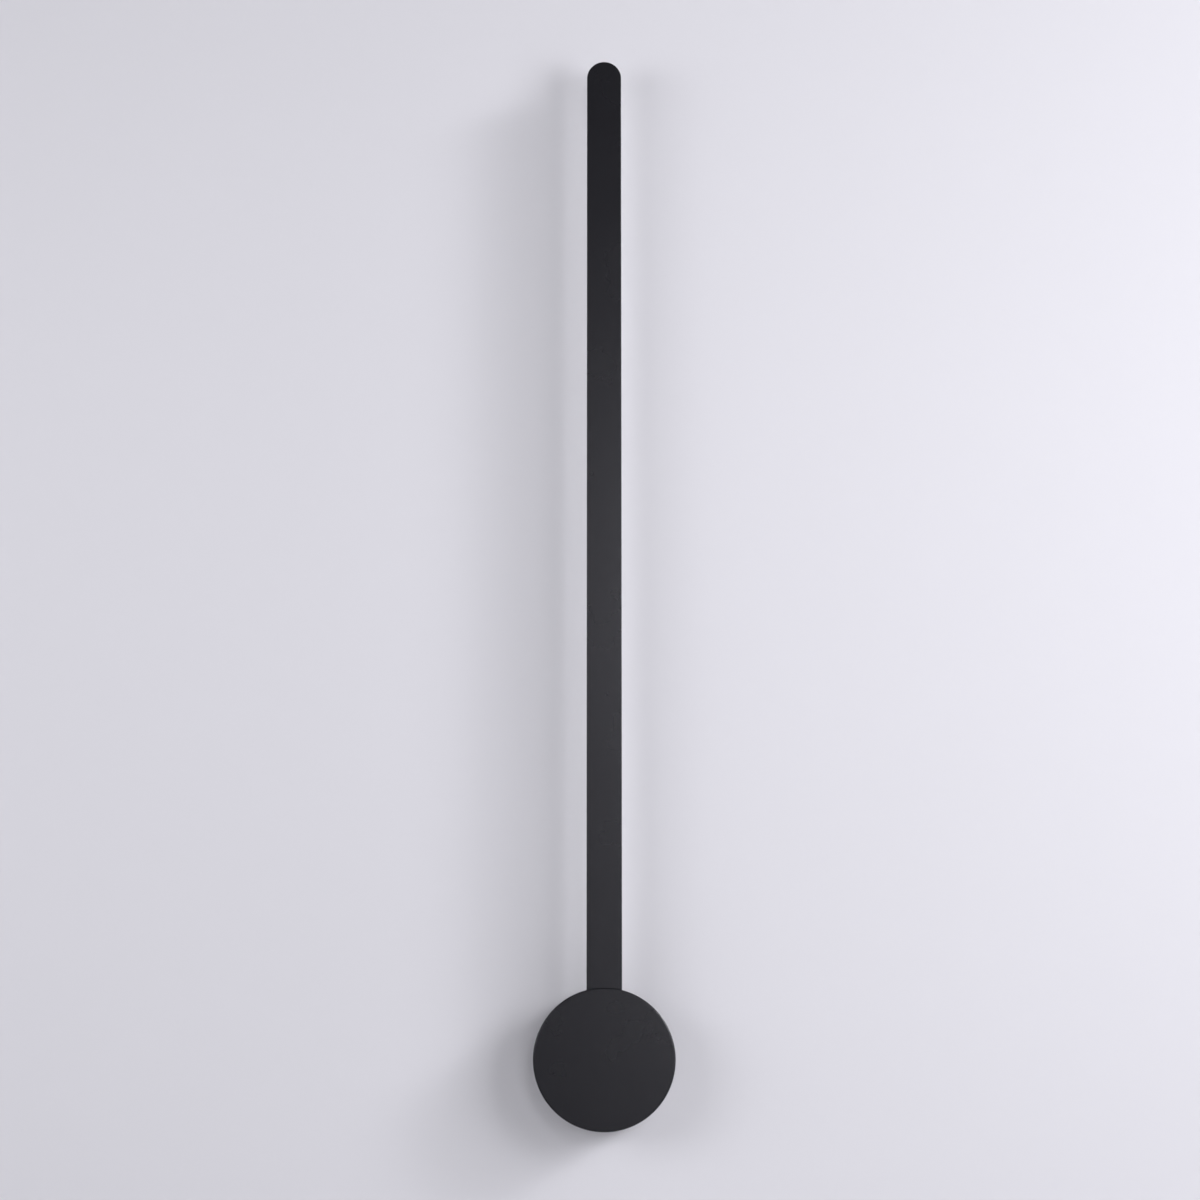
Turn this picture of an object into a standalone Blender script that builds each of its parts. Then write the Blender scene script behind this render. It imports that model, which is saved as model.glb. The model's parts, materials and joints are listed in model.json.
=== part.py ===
"""Linear LED wall light: a slim bar on a round wall base, swivelling about the disc's centre.

Metres, +Z up. The wall is the plane Y = 0 and the light stands on its -Y side, so a "depth" below is
a distance from the wall towards the room, at Y = -depth. X = 0, Z = 0 is the centre of the round base,
and the arm swivels about the Y axis. The arm points straight up at rest.
"""

import math

import bmesh
import bpy
from mathutils import Matrix, Vector

MM = 0.001
GAP = 0.3 * MM  # clearance between two pieces that touch
OVER = 1 * MM  # how far a cutter runs past the face it cuts

# Driving dimensions
DISC_RADIUS = 60 * MM
ARM_WIDTH = 30 * MM
ARM_TOP = 870 * MM  # height of the arm's round tip above the disc's centre
ARM_FOOT = -30 * MM  # the arm's square end, hidden behind the disc
DEPTH = 50 * MM  # how far the light stands out from the wall

# Depths of the stack along the swivel axis, from the wall towards the room
BASE_FRONT = 30 * MM
BASE_PLATE = 2 * MM
COVER_REAR = 31 * MM
COVER_PLATE = 1.5 * MM
HUB_REAR = 31.6 * MM
HUB_PLATE = 2 * MM
ARM_REAR = 34 * MM
ARM_FRONT = 48 * MM
ARM_WEB = 2 * MM
ARM_WALL = 1.8 * MM
HUB_FRONT = HUB_REAR + HUB_PLATE
WEB_INNER = ARM_FRONT - ARM_WEB
BASE_INNER = BASE_FRONT - BASE_PLATE

# Round shells
SHELL_STEPS = 80
BASE_WALL = 1.6 * MM
COVER_WALL = 1.8 * MM
EDGE_RADIUS = 0.8 * MM
BASE_INNER_RADIUS = DISC_RADIUS - BASE_WALL
COVER_INNER_RADIUS = DISC_RADIUS - COVER_WALL

# Swivel
TUBE_RADIUS = 5 * MM
TUBE_BORE = 3.6 * MM
TUBE_REAR = 20 * MM
TUBE_FRONT = 41 * MM
NUT_FLATS = 14 * MM
NUT_HEIGHT = 4 * MM
HUB_RADIUS = 42 * MM
TONGUE_HALF_WIDTH = 14.4 * MM
TONGUE_END = 57.6 * MM
STOP_RADIUS = 49 * MM
STOP_PIN_RADIUS = 2 * MM

# Arm fittings
BLOCK_HALF_WIDTH = 12.9 * MM
BLOCK_BOTTOM = -28.5 * MM
BLOCK_TOP = 46 * MM
BLOCK_BORE = 10.5 * MM
CABLE_SLOT = 4 * MM
HUB_SCREW_X = 8 * MM
HUB_SCREW_HEIGHTS = (-20 * MM, 36 * MM)
ARM_SCREW_HEIGHTS = (-21 * MM, 26 * MM)
ARM_SCREW_X = 6 * MM
MAGNET_SPREAD = 24 * MM
MAGNET_RADIUS = 4 * MM
MAGNET_HEIGHT = 2.8 * MM
MAGNET_BOSS_RADIUS = 5.5 * MM
MAGNET_REAR = HUB_FRONT + GAP
STRIP_WIDTH = 12 * MM
STRIP_BOTTOM = 66 * MM
STRIP_TOP = 862 * MM
LED_PITCH = 16.5 * MM
LED_COUNT = 48
DIFFUSER_DEPTH = 6.8 * MM
DIFFUSER_SKIN = 2 * MM
DIFFUSER_LEG = 1.2 * MM

# Base fittings
BRACKET_HEIGHT = 24 * MM
BRACKET_THICK = 1.5 * MM
BRACKET_TAB_X = 56.2 * MM
BRACKET_TAB_DEPTH = 16 * MM
BRACKET_BEND = 2 * MM
WALL_SLOT_X = 38 * MM
WALL_SLOT_LENGTH = 22 * MM
WALL_SLOT_WIDTH = 5.2 * MM
EARTH_X = 19 * MM
SIDE_SCREW_DEPTH = 10 * MM
BOSS_RADIUS = 3.5 * MM
BOSS_REAR = 22 * MM
DRIVER_WIDTH = 62 * MM
DRIVER_HEIGHT = 28 * MM
DRIVER_Z = -32 * MM
DRIVER_REAR = 6.5 * MM
DRIVER_FRONT = 26.5 * MM
DRIVER_WALL = 1.5 * MM
DRIVER_EAR_X = 36 * MM
DRIVER_LEAD_HEIGHTS = (-27 * MM, -22.5 * MM)
OUTPUT_HEIGHT = -24 * MM
TERMINAL_Z = 29 * MM
TERMINAL_HALF_WIDTH = 13 * MM
TERMINAL_EAR_X = 17 * MM
TERMINAL_PITCH = 8 * MM
TERMINAL_REAR = 9 * MM
TERMINAL_FRONT = 21.7 * MM
TERMINAL_HEIGHT = 15 * MM
TERMINAL_LEAD_DEPTH = 14.5 * MM
TERMINAL_LEAD_HEIGHTS = (31 * MM, 22 * MM, 19.5 * MM)
LEAD_RADIUS = 0.9 * MM
CABLE_RADIUS = 1.2 * MM


# --- scene, materials and object helpers ---------------------------------------------------------


def clear_scene():
    for obj in list(bpy.data.objects):
        bpy.data.objects.remove(obj, do_unlink=True)


def new_collection(name):
    collection = bpy.data.collections.new(name)
    bpy.context.scene.collection.children.link(collection)
    return collection


def new_material(name, colour, roughness, metallic=0.0):
    material = bpy.data.materials.new(name)
    material.use_nodes = True
    shader = material.node_tree.nodes["Principled BSDF"]
    shader.inputs["Base Color"].default_value = (*colour, 1)
    shader.inputs["Roughness"].default_value = roughness
    shader.inputs["Metallic"].default_value = metallic
    return material


def object_from(name, data, material=None, parent=None):
    """A part, or a cutter where no material is given."""
    obj = bpy.data.objects.new(name, data)
    if material is None:
        cutters.objects.link(obj)
        obj.hide_render = True
        obj.display_type = "WIRE"
    else:
        parts.objects.link(obj)
        data.materials.clear()
        data.materials.append(material)
    obj.parent = parent
    return obj


def object_from_bmesh(name, bm, material=None, parent=None):
    mesh = bpy.data.meshes.new(name)
    bm.to_mesh(mesh)
    bm.free()
    return object_from(name, mesh, material, parent)


def at(x, depth, z):
    """A place in the light's own frame, from a depth."""
    return Vector((x, -depth, z))


# --- shapes --------------------------------------------------------------------------------------


def box(name, half_width, depths, heights, material=None, parent=None, x=0.0):
    """An upright box centred on x, between two depths and two heights."""
    bm = bmesh.new()
    bmesh.ops.create_cube(bm, size=1)
    size = Vector((2 * half_width, depths[1] - depths[0], heights[1] - heights[0]))
    bmesh.ops.scale(bm, vec=size, verts=bm.verts)
    obj = object_from_bmesh(name, bm, material, parent)
    obj.location = at(x, sum(depths) / 2, sum(heights) / 2)
    return obj


def rod(name, radius, depths, x=0.0, z=0.0, material=None, parent=None, segments=32):
    """A cylinder along the depth direction."""
    bm = bmesh.new()
    bmesh.ops.create_cone(
        bm, cap_ends=True, segments=segments, radius1=radius, radius2=radius, depth=depths[1] - depths[0]
    )
    obj = object_from_bmesh(name, bm, material, parent)
    obj.rotation_euler.x = math.pi / 2
    obj.location = at(x, sum(depths) / 2, z)
    return obj


def cross_rod(name, radius, length, centre, axis, segments=24):
    """A cutter along X or Z."""
    bm = bmesh.new()
    bmesh.ops.create_cone(bm, cap_ends=True, segments=segments, radius1=radius, radius2=radius, depth=length)
    obj = object_from_bmesh(name, bm)
    if axis == "X":
        obj.rotation_euler.y = math.pi / 2
    obj.location = centre
    return obj


def arc(centre_x, centre_y, radius, start, end, steps):
    """Points on an arc, angles in degrees."""
    points = []
    for i in range(steps + 1):
        angle = math.radians(start + (end - start) * i / steps)
        points.append((centre_x + radius * math.cos(angle), centre_y + radius * math.sin(angle)))
    return points


def turned(name, profile, steps, material=None, parent=None, closed=False):
    """A profile of (radius, depth) points turned about the depth axis. It runs down its outer side."""
    bm = bmesh.new()
    verts = [bm.verts.new((radius, 0, depth)) for radius, depth in profile]
    for a, b in zip(verts, verts[1:]):
        bm.edges.new((a, b))
    if closed:
        bm.edges.new((verts[-1], verts[0]))
    obj = object_from_bmesh(name, bm, material, parent)
    obj.rotation_euler.x = math.pi / 2  # local +Z then points into the room
    screw = obj.modifiers.new("Turn", "SCREW")
    screw.axis = "Z"
    screw.steps = screw.render_steps = steps
    screw.use_merge_vertices = True
    screw.merge_threshold = 0.00001
    screw.use_smooth_shade = True
    return obj


def ring(name, outer, inner, depths, material, parent=None, steps=40, chamfer=0.0):
    """A washer or a tube, its outer corners chamfered."""
    rear, front = depths
    profile = [(inner, front), (outer - chamfer, front)]
    if chamfer:
        profile.append((outer, front - chamfer))
        profile.append((outer, rear + chamfer))
    profile += [(outer - chamfer, rear), (inner, rear)]
    if not chamfer:
        profile = [(inner, front), (outer, front), (outer, rear), (inner, rear)]
    return turned(name, profile, steps, material, parent, closed=True)


def outline_plate(name, outline, depths, material=None, parent=None):
    """A flat outline of (x, z) points, filled and given its thickness between two depths."""
    curve = bpy.data.curves.new(name, "CURVE")
    curve.dimensions = "2D"
    curve.fill_mode = "BOTH"
    curve.extrude = (depths[1] - depths[0]) / 2
    spline = curve.splines.new("POLY")
    spline.points.add(len(outline) - 1)
    for point, (x, z) in zip(spline.points, outline):
        point.co = (x, z, 0, 1)
    spline.use_cyclic_u = True
    flat = object_from(name + "_outline", curve)
    flat.rotation_euler.x = math.pi / 2
    flat.location = at(0, sum(depths) / 2, 0)
    return mesh_copy(flat, name, material, parent)


def mesh_copy(source, name, material=None, parent=None):
    """The evaluated object as a mesh of its own, its caps welded. The source is removed."""
    bpy.context.view_layer.update()
    graph = bpy.context.evaluated_depsgraph_get()
    mesh = bpy.data.meshes.new_from_object(source.evaluated_get(graph))
    mesh.name = name
    bm = bmesh.new()
    bm.from_mesh(mesh)
    bmesh.ops.remove_doubles(bm, verts=bm.verts, dist=0.000001)
    bm.to_mesh(mesh)
    bm.free()
    obj = object_from(name, mesh, material, parent)
    obj.matrix_world = source.matrix_world
    bpy.data.objects.remove(source, do_unlink=True)
    return obj


def tip_outline(half_width, bottom, centre_z, steps):
    """A bar's outline: a square foot, straight sides and a half-round tip."""
    return [(-half_width, bottom), (half_width, bottom)] + arc(0, centre_z, half_width, 0, 180, steps)


def boolean(obj, other, operation="DIFFERENCE"):
    modifier = obj.modifiers.new(other.name, "BOOLEAN")
    modifier.operation = operation
    modifier.object = other
    return obj


def bevel_edges(obj, width, segments=1, angle=50):
    modifier = obj.modifiers.new("Bevel", "BEVEL")
    modifier.width = width
    modifier.segments = segments
    modifier.limit_method = "ANGLE"
    modifier.angle_limit = math.radians(angle)
    return obj


def smooth_route(points, steps=4):
    """Points on one smooth curve (Catmull-Rom) through the route's own points."""
    route = [Vector(p) for p in points]
    ends = [2 * route[0] - route[1], *route, 2 * route[-1] - route[-2]]
    found = []
    for i in range(1, len(ends) - 2):
        p0, p1, p2, p3 = ends[i - 1 : i + 3]
        for k in range(steps):
            t = k / steps
            found.append(
                0.5
                * (
                    2 * p1
                    + (p2 - p0) * t
                    + (2 * p0 - 5 * p1 + 4 * p2 - p3) * t**2
                    + (3 * p1 - p0 - 3 * p2 + p3) * t**3
                )
            )
    return [*found, route[-1]]


def wire(name, points, radius, material, parent=None):
    """An insulated lead or cable along a smooth route."""
    curve = bpy.data.curves.new(name, "CURVE")
    curve.dimensions = "3D"
    curve.bevel_depth = radius
    curve.bevel_resolution = 2
    curve.use_fill_caps = True
    route = smooth_route(points)
    spline = curve.splines.new("POLY")
    spline.points.add(len(route) - 1)
    for point, place in zip(spline.points, route):
        point.co = (*place, 1)
    return object_from(name, curve, material, parent)


def shade_round(obj):
    """Smooth shading that leaves flats and corners crisp."""
    obj.data.shade_smooth()
    obj.data.set_sharp_from_angle(angle=math.radians(35))
    normals = obj.modifiers.new("Normals", "WEIGHTED_NORMAL")
    normals.keep_sharp = True


# --- fasteners -----------------------------------------------------------------------------------


def cross_recess(name, radius, depths):
    """A cross-head recess as one cutter."""
    arm = box(name + "_a", radius, depths, (-0.3 * radius, 0.3 * radius))
    other = box(name + "_b", 0.3 * radius, depths, (-radius, radius))
    cutter = mesh_copy(boolean(arm, other, "UNION"), name)
    bpy.data.objects.remove(other, do_unlink=True)
    return cutter


def screw_mesh(name, shank_radius, length, head_radius, head_height, countersunk, steps=16):
    """A screw along the depth axis with its head's face at depth 0 and its tip at depth +length."""
    tip = 0.35 * shank_radius
    neck = head_height
    profile = [(0, length), (shank_radius - tip, length), (shank_radius, length - tip), (shank_radius, neck)]
    if countersunk:
        profile += [(head_radius, 0.15 * head_height), (head_radius, 0)]
    else:
        crown = 0.35 * head_height
        profile += [(head_radius, neck), (head_radius, crown), (head_radius - crown, 0)]
    profile.append((0, 0))
    blank = turned(name + "_blank", profile, steps)
    recess = cross_recess(name + "_recess", 0.6 * head_radius, (-OVER, 0.6 * head_height))
    screw = mesh_copy(boolean(blank, recess), name + "_mesh")
    mesh = screw.data
    for obj in (screw, recess):
        bpy.data.objects.remove(obj, do_unlink=True)
    return mesh


def place_screw(name, mesh, place, material, parent=None, into_room=True):
    """One screw. It is driven into the room, or back towards the wall."""
    screw = object_from(name, mesh, material, parent)
    screw.rotation_euler.x = math.pi / 2 if into_room else -math.pi / 2
    screw.location = place
    return screw


def hex_nut(name, depths, material, parent=None):
    """A chamfered hexagon nut on the swivel axis."""
    corner = NUT_FLATS / math.sqrt(3)
    chamfer = corner - NUT_FLATS / 2
    rear, front = depths
    nut = rod(name, corner, depths, material=material, parent=parent, segments=6)
    trim = turned(
        name + "_trim",
        [
            (0, front + GAP),
            (corner - chamfer - GAP, front + GAP),
            (corner + GAP, front - 0.6 * chamfer),
            (corner + GAP, rear + 0.6 * chamfer),
            (corner - chamfer - GAP, rear - GAP),
            (0, rear - GAP),
        ],
        24,
    )
    boolean(nut, trim, "INTERSECT")
    return boolean(nut, rod(name + "_bore", TUBE_RADIUS + GAP, (rear - OVER, front + OVER)))


# --- fixed body: wall bracket and base -----------------------------------------------------------


def wall_bracket():
    """A folded steel crossbar: wall slots, earth holes, and a tab at each end for the base."""
    bend = arc(BRACKET_TAB_X - BRACKET_BEND, BRACKET_BEND, BRACKET_BEND, -90, 0, 5)
    half = [(0, 0), *bend, (BRACKET_TAB_X, BRACKET_TAB_DEPTH)]
    path = [(-x, depth) for x, depth in reversed(half)] + half[1:]
    bm = bmesh.new()
    low = [bm.verts.new((x, -depth, -BRACKET_HEIGHT / 2)) for x, depth in path]
    high = [bm.verts.new((x, -depth, BRACKET_HEIGHT / 2)) for x, depth in path]
    for i in range(len(path) - 1):
        bm.faces.new((low[i], low[i + 1], high[i + 1], high[i]))
    bmesh.ops.recalc_face_normals(bm, faces=bm.faces)
    bracket = object_from_bmesh("wall_bracket", bm, zinc_steel, base)
    sheet = bracket.modifiers.new("Sheet", "SOLIDIFY")
    sheet.thickness = BRACKET_THICK
    sheet.offset = -1 if bracket.data.polygons[len(path) // 2].normal.y > 0 else 1
    through = (-OVER, BRACKET_THICK + OVER)
    for side in (-1, 1):
        slot_half = WALL_SLOT_LENGTH / 2 - WALL_SLOT_WIDTH / 2
        outline = arc(side * WALL_SLOT_X + slot_half, 0, WALL_SLOT_WIDTH / 2, -90, 90, 8)
        outline += arc(side * WALL_SLOT_X - slot_half, 0, WALL_SLOT_WIDTH / 2, 90, 270, 8)
        boolean(bracket, outline_plate(f"wall_slot_{side}", outline, through))
        hole = rod(f"bracket_hole_{side}", 2 * MM + GAP, through, x=side * EARTH_X, segments=20)
        boolean(bracket, hole)
        tab_hole = cross_rod(
            f"tab_hole_{side}",
            2 * MM + GAP,
            6 * MM,
            at(side * BRACKET_TAB_X, SIDE_SCREW_DEPTH, 0),
            "X",
        )
        boolean(bracket, tab_hole)


def base_housing():
    """The round cup on the wall: cast aluminium, open to the wall, with screw bosses inside."""
    front = arc(DISC_RADIUS - EDGE_RADIUS, BASE_FRONT - EDGE_RADIUS, EDGE_RADIUS, 90, 0, 3)
    profile = [(0, BASE_FRONT), *front, (DISC_RADIUS, 0), (BASE_INNER_RADIUS, 0)]
    profile += [(BASE_INNER_RADIUS, BASE_INNER), (0, BASE_INNER)]
    housing = turned("base_housing", profile, SHELL_STEPS, black_paint, base)
    boss_places = [(side * DRIVER_EAR_X, DRIVER_Z) for side in (-1, 1)]
    boss_places += [(side * TERMINAL_EAR_X, TERMINAL_Z) for side in (-1, 1)]
    for i, (x, z) in enumerate(boss_places):
        boss = rod(f"base_boss_{i}", BOSS_RADIUS, (BOSS_REAR, BASE_INNER + OVER), x, z, segments=20)
        boolean(housing, boss, "UNION")
    for i, (x, z) in enumerate(boss_places):
        bore = rod(f"base_boss_bore_{i}", 1.5 * MM + GAP, (BOSS_REAR - OVER, BASE_INNER), x, z, segments=16)
        boolean(housing, bore)
    through = (BASE_INNER - OVER, BASE_FRONT + OVER)
    boolean(housing, rod("base_tube_hole", TUBE_RADIUS + GAP, through))
    boolean(housing, rod("base_pin_hole", STOP_PIN_RADIUS + GAP, through, z=-STOP_RADIUS, segments=20))
    for side in (-1, 1):
        centre = at(side * DISC_RADIUS, SIDE_SCREW_DEPTH, 0)
        boolean(housing, cross_rod(f"base_side_hole_{side}", 2 * MM + GAP, 8 * MM, centre, "X"))


def side_screws():
    """Flush hexagon-socket grub screws that hold the base on the bracket's tabs."""
    length = 6 * MM
    outer = DISC_RADIUS - 0.4 * MM
    for name, side in (("side_screw_left", -1), ("side_screw_right", 1)):
        profile = [(0, length), (1.6 * MM, length), (2 * MM, length - 0.4 * MM), (2 * MM, 0.3 * MM)]
        profile += [(1.7 * MM, 0), (0, 0)]
        screw = turned(name, profile, 24, zinc_steel, base)
        screw.rotation_euler = (0, side * math.pi / 2, 0)
        screw.location = at(side * (outer - length), SIDE_SCREW_DEPTH, 0)
        socket = cross_rod(name + "_socket", 1.1 * MM, 5 * MM, at(side * outer, SIDE_SCREW_DEPTH, 0), "X", 6)
        boolean(screw, socket)


def earth_point():
    """The earth screw, its toothed washer and the earth lead's ring end, on the bracket."""
    lead_ring = (BRACKET_THICK + GAP, BRACKET_THICK + GAP + 0.8 * MM)
    washer = (lead_ring[1] + GAP, lead_ring[1] + GAP + 0.6 * MM)
    head = washer[1] + GAP + 2 * MM
    # Its tip stops short of the wall, inside the plate.
    mesh = screw_mesh("earth_screw", 2 * MM, head - 0.2 * MM, 3.5 * MM, 2 * MM, countersunk=False)
    place_screw("earth_screw", mesh, at(EARTH_X, head, 0), brass, base, into_room=False)
    star = ring("earth_washer", 3.6 * MM, 2 * MM + GAP, washer, zinc_steel, base, steps=24)
    star.location.x = EARTH_X
    for i in range(8):
        angle = math.pi * (2 * i + 1) / 8
        notch = rod(
            f"washer_notch_{i}",
            0.6 * MM,
            (washer[0] - OVER, washer[1] + OVER),
            EARTH_X + 3.7 * MM * math.cos(angle),
            3.7 * MM * math.sin(angle),
            segments=8,
        )
        boolean(star, notch)
    eye = ring("earth_lead", 4.6 * MM, 2 * MM + GAP, lead_ring, lead_earth, base, steps=24)
    eye.location.x = EARTH_X
    route = [
        at(EARTH_X + 2.8 * MM, BRACKET_THICK + 1.3 * MM, 2.8 * MM),
        at(EARTH_X + 4.8 * MM, BRACKET_THICK + 1.6 * MM, 4.8 * MM),
        at(EARTH_X + 4 * MM, 9 * MM, 11 * MM),
        at(TERMINAL_PITCH + 4 * MM, 13 * MM, 15 * MM),
    ]
    route += [at(TERMINAL_PITCH, TERMINAL_LEAD_DEPTH, z) for z in reversed(TERMINAL_LEAD_HEIGHTS)]
    tail = wire("earth_lead_tail", route, LEAD_RADIUS, lead_earth)
    boolean(eye, mesh_copy(tail, "earth_lead_tail"), "UNION")


def terminal_block():
    """A three-pole screw terminal, its clamp screws facing the wall and its lamp side facing down."""
    heights = (TERMINAL_Z - TERMINAL_HEIGHT / 2, TERMINAL_Z + TERMINAL_HEIGHT / 2)
    block = box(
        "terminal_block",
        TERMINAL_HALF_WIDTH,
        (TERMINAL_REAR, TERMINAL_FRONT),
        heights,
        white_plastic,
        base,
    )
    ears = box(
        "terminal_ears",
        TERMINAL_EAR_X + 3.5 * MM,
        (TERMINAL_FRONT - 2.5 * MM, TERMINAL_FRONT),
        (TERMINAL_Z - 4 * MM, TERMINAL_Z + 4 * MM),
    )
    boolean(block, ears, "UNION")
    groove_x = TERMINAL_PITCH / 2
    for side in (-1, 1):
        ear_hole = rod(
            f"terminal_ear_hole_{side}",
            1.5 * MM + GAP,
            (TERMINAL_FRONT - 5 * MM, TERMINAL_FRONT + OVER),
            side * TERMINAL_EAR_X,
            TERMINAL_Z,
            segments=16,
        )
        boolean(block, ear_hole)
        groove = box(
            f"terminal_groove_{side}",
            0.6 * MM,
            (TERMINAL_REAR - OVER, TERMINAL_REAR + 5 * MM),
            (heights[0] - OVER, heights[1] + OVER),
            x=side * groove_x,
        )
        boolean(block, groove)
    clamp_length = TERMINAL_LEAD_DEPTH - LEAD_RADIUS - GAP - TERMINAL_REAR - 1 * MM
    clamp = screw_mesh("terminal_clamp", 1.4 * MM, clamp_length, 1.8 * MM, 1.4 * MM, countersunk=False)
    for i in (-1, 0, 1):
        x = i * TERMINAL_PITCH
        entry = cross_rod(
            f"terminal_entry_{i}",
            1.6 * MM,
            TERMINAL_HEIGHT + 2 * OVER,
            at(x, TERMINAL_LEAD_DEPTH, TERMINAL_Z),
            "Z",
            16,
        )
        boolean(block, entry)
        well = rod(
            f"terminal_well_{i}", 2.1 * MM, (TERMINAL_REAR - OVER, 14 * MM), x, TERMINAL_Z, segments=16
        )
        boolean(block, well)
        place = at(x, TERMINAL_REAR + 1 * MM, TERMINAL_Z)
        place_screw(f"terminal_clamp_screw_{i + 2}", clamp, place, brass, base)
    mount = screw_mesh("terminal_mount", 1.5 * MM, 7 * MM, 2.9 * MM, 1.8 * MM, countersunk=False)
    for name, side in (("terminal_screw_left", -1), ("terminal_screw_right", 1)):
        head = TERMINAL_FRONT - 2.5 * MM - GAP - 1.8 * MM
        place_screw(name, mount, at(side * TERMINAL_EAR_X, head, TERMINAL_Z), zinc_steel, base)


def driver():
    """The constant-current driver: a case, its lid towards the wall, and the board inside."""
    half = DRIVER_WIDTH / 2
    heights = (DRIVER_Z - DRIVER_HEIGHT / 2, DRIVER_Z + DRIVER_HEIGHT / 2)
    lid_front = DRIVER_REAR + 1.6 * MM
    case_rear = lid_front + GAP
    case = box("driver_case", half, (case_rear, DRIVER_FRONT), heights, grey_plastic, base)
    ear_depths = (BOSS_REAR - GAP - 2 * MM, BOSS_REAR - GAP)
    ears = box(
        "driver_ears",
        DRIVER_EAR_X + 3.8 * MM,
        ear_depths,
        (DRIVER_Z - 4 * MM, DRIVER_Z + 4 * MM),
    )
    boolean(case, ears, "UNION")
    inside = box(
        "driver_inside",
        half - DRIVER_WALL,
        (case_rear - OVER, DRIVER_FRONT - DRIVER_WALL),
        (heights[0] + DRIVER_WALL, heights[1] - DRIVER_WALL),
    )
    boolean(case, inside)
    mount = screw_mesh("driver_mount", 1.5 * MM, 7 * MM, 2.9 * MM, 1.8 * MM, countersunk=False)
    for name, side in (("driver_screw_left", -1), ("driver_screw_right", 1)):
        x = side * DRIVER_EAR_X
        hole = rod(
            f"driver_ear_hole_{side}",
            1.5 * MM + GAP,
            (ear_depths[0] - OVER, ear_depths[1] + OVER),
            x,
            DRIVER_Z,
            segments=16,
        )
        boolean(case, hole)
        place_screw(name, mount, at(x, ear_depths[0] - GAP - 1.8 * MM, DRIVER_Z), zinc_steel, base)
    holes = [(-1, z, LEAD_RADIUS) for z in DRIVER_LEAD_HEIGHTS]
    holes.append((1, OUTPUT_HEIGHT, CABLE_RADIUS))
    for i, (side, z, radius) in enumerate(holes):
        hole = cross_rod(f"driver_lead_hole_{i}", radius + GAP, 6 * MM, at(side * half, 14 * MM, z), "X", 16)
        boolean(case, hole)
    lid = box("driver_lid", half, (DRIVER_REAR, lid_front), heights, grey_plastic, base)
    bevel_edges(lid, 0.5 * MM)
    board_rear = 17 * MM
    board = box(
        "driver_board",
        half - DRIVER_WALL - GAP,
        (board_rear, board_rear + 1.6 * MM),
        (heights[0] + DRIVER_WALL + GAP, heights[1] - DRIVER_WALL - GAP),
        circuit_board,
        base,
    )
    sink = board_rear + 0.5 * MM
    lump = box("driver_transformer", 7 * MM, (9 * MM, sink), (DRIVER_Z - 8 * MM, DRIVER_Z + 7 * MM))
    boolean(board, lump, "UNION")
    for i, (x, z, radius) in enumerate(((-18 * MM, 5 * MM, 4 * MM), (-18 * MM, -6 * MM, 3 * MM))):
        can = rod(f"driver_capacitor_{i}", radius, (9.5 * MM, sink), x, DRIVER_Z + z, segments=20)
        boolean(board, can, "UNION")
    choke = rod("driver_choke", 4.5 * MM, (10 * MM, sink), 17 * MM, DRIVER_Z - 4 * MM, segments=20)
    boolean(board, choke, "UNION")


def base_leads():
    """The mains leads from the terminal block to the driver, and the fixed half of the output cable."""
    left = -DRIVER_WIDTH / 2
    bend = 13 * MM
    deep = 14 * MM
    live_z, neutral_z = DRIVER_LEAD_HEIGHTS
    live_bends = [
        at(-TERMINAL_PITCH - 3 * MM, deep, 15.5 * MM),
        at(-22 * MM, bend, 10 * MM),
        at(-36 * MM, bend, 2 * MM),
        at(-44.5 * MM, bend, -8 * MM),
        at(-45 * MM, bend, -19 * MM),
        at(-40.5 * MM, deep, -25.6 * MM),
    ]
    neutral_bends = [
        at(-3 * MM, deep, 13 * MM),
        at(-20 * MM, bend, 5 * MM),
        at(-33 * MM, bend, -2.5 * MM),
        at(-40.5 * MM, bend, -10 * MM),
        at(-40.5 * MM, bend, -17 * MM),
        at(-37.5 * MM, deep, -21.6 * MM),
    ]
    for name, pole, bends, end_z, material in (
        ("live_lead", -TERMINAL_PITCH, live_bends, live_z, lead_live),
        ("neutral_lead", 0.0, neutral_bends, neutral_z, lead_neutral),
    ):
        top = [at(pole, TERMINAL_LEAD_DEPTH, z) for z in TERMINAL_LEAD_HEIGHTS]
        end = [at(left + x, deep, end_z) for x in (-4 * MM, -1.5 * MM, 2.5 * MM, 5 * MM)]
        wire(name, top + bends + end, LEAD_RADIUS, material, base)
    right = -left
    start = [at(right + x, deep, OUTPUT_HEIGHT) for x in (-5 * MM, -2.5 * MM, 2 * MM, 4.5 * MM)]
    bends = [
        at(41 * MM, bend, -18 * MM),
        at(42 * MM, 11 * MM, -9 * MM),
        at(33 * MM, 9.5 * MM, -4 * MM),
        at(20 * MM, 9 * MM, -6 * MM),
        at(8 * MM, 9.5 * MM, -4 * MM),
        at(1.5 * MM, bend, -0.8 * MM),
    ]
    end = [at(0, depth, 0) for depth in (18 * MM, 24 * MM, 32 * MM)]
    wire("output_cable", start + bends + end, CABLE_RADIUS, cable_jacket, base)


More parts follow.
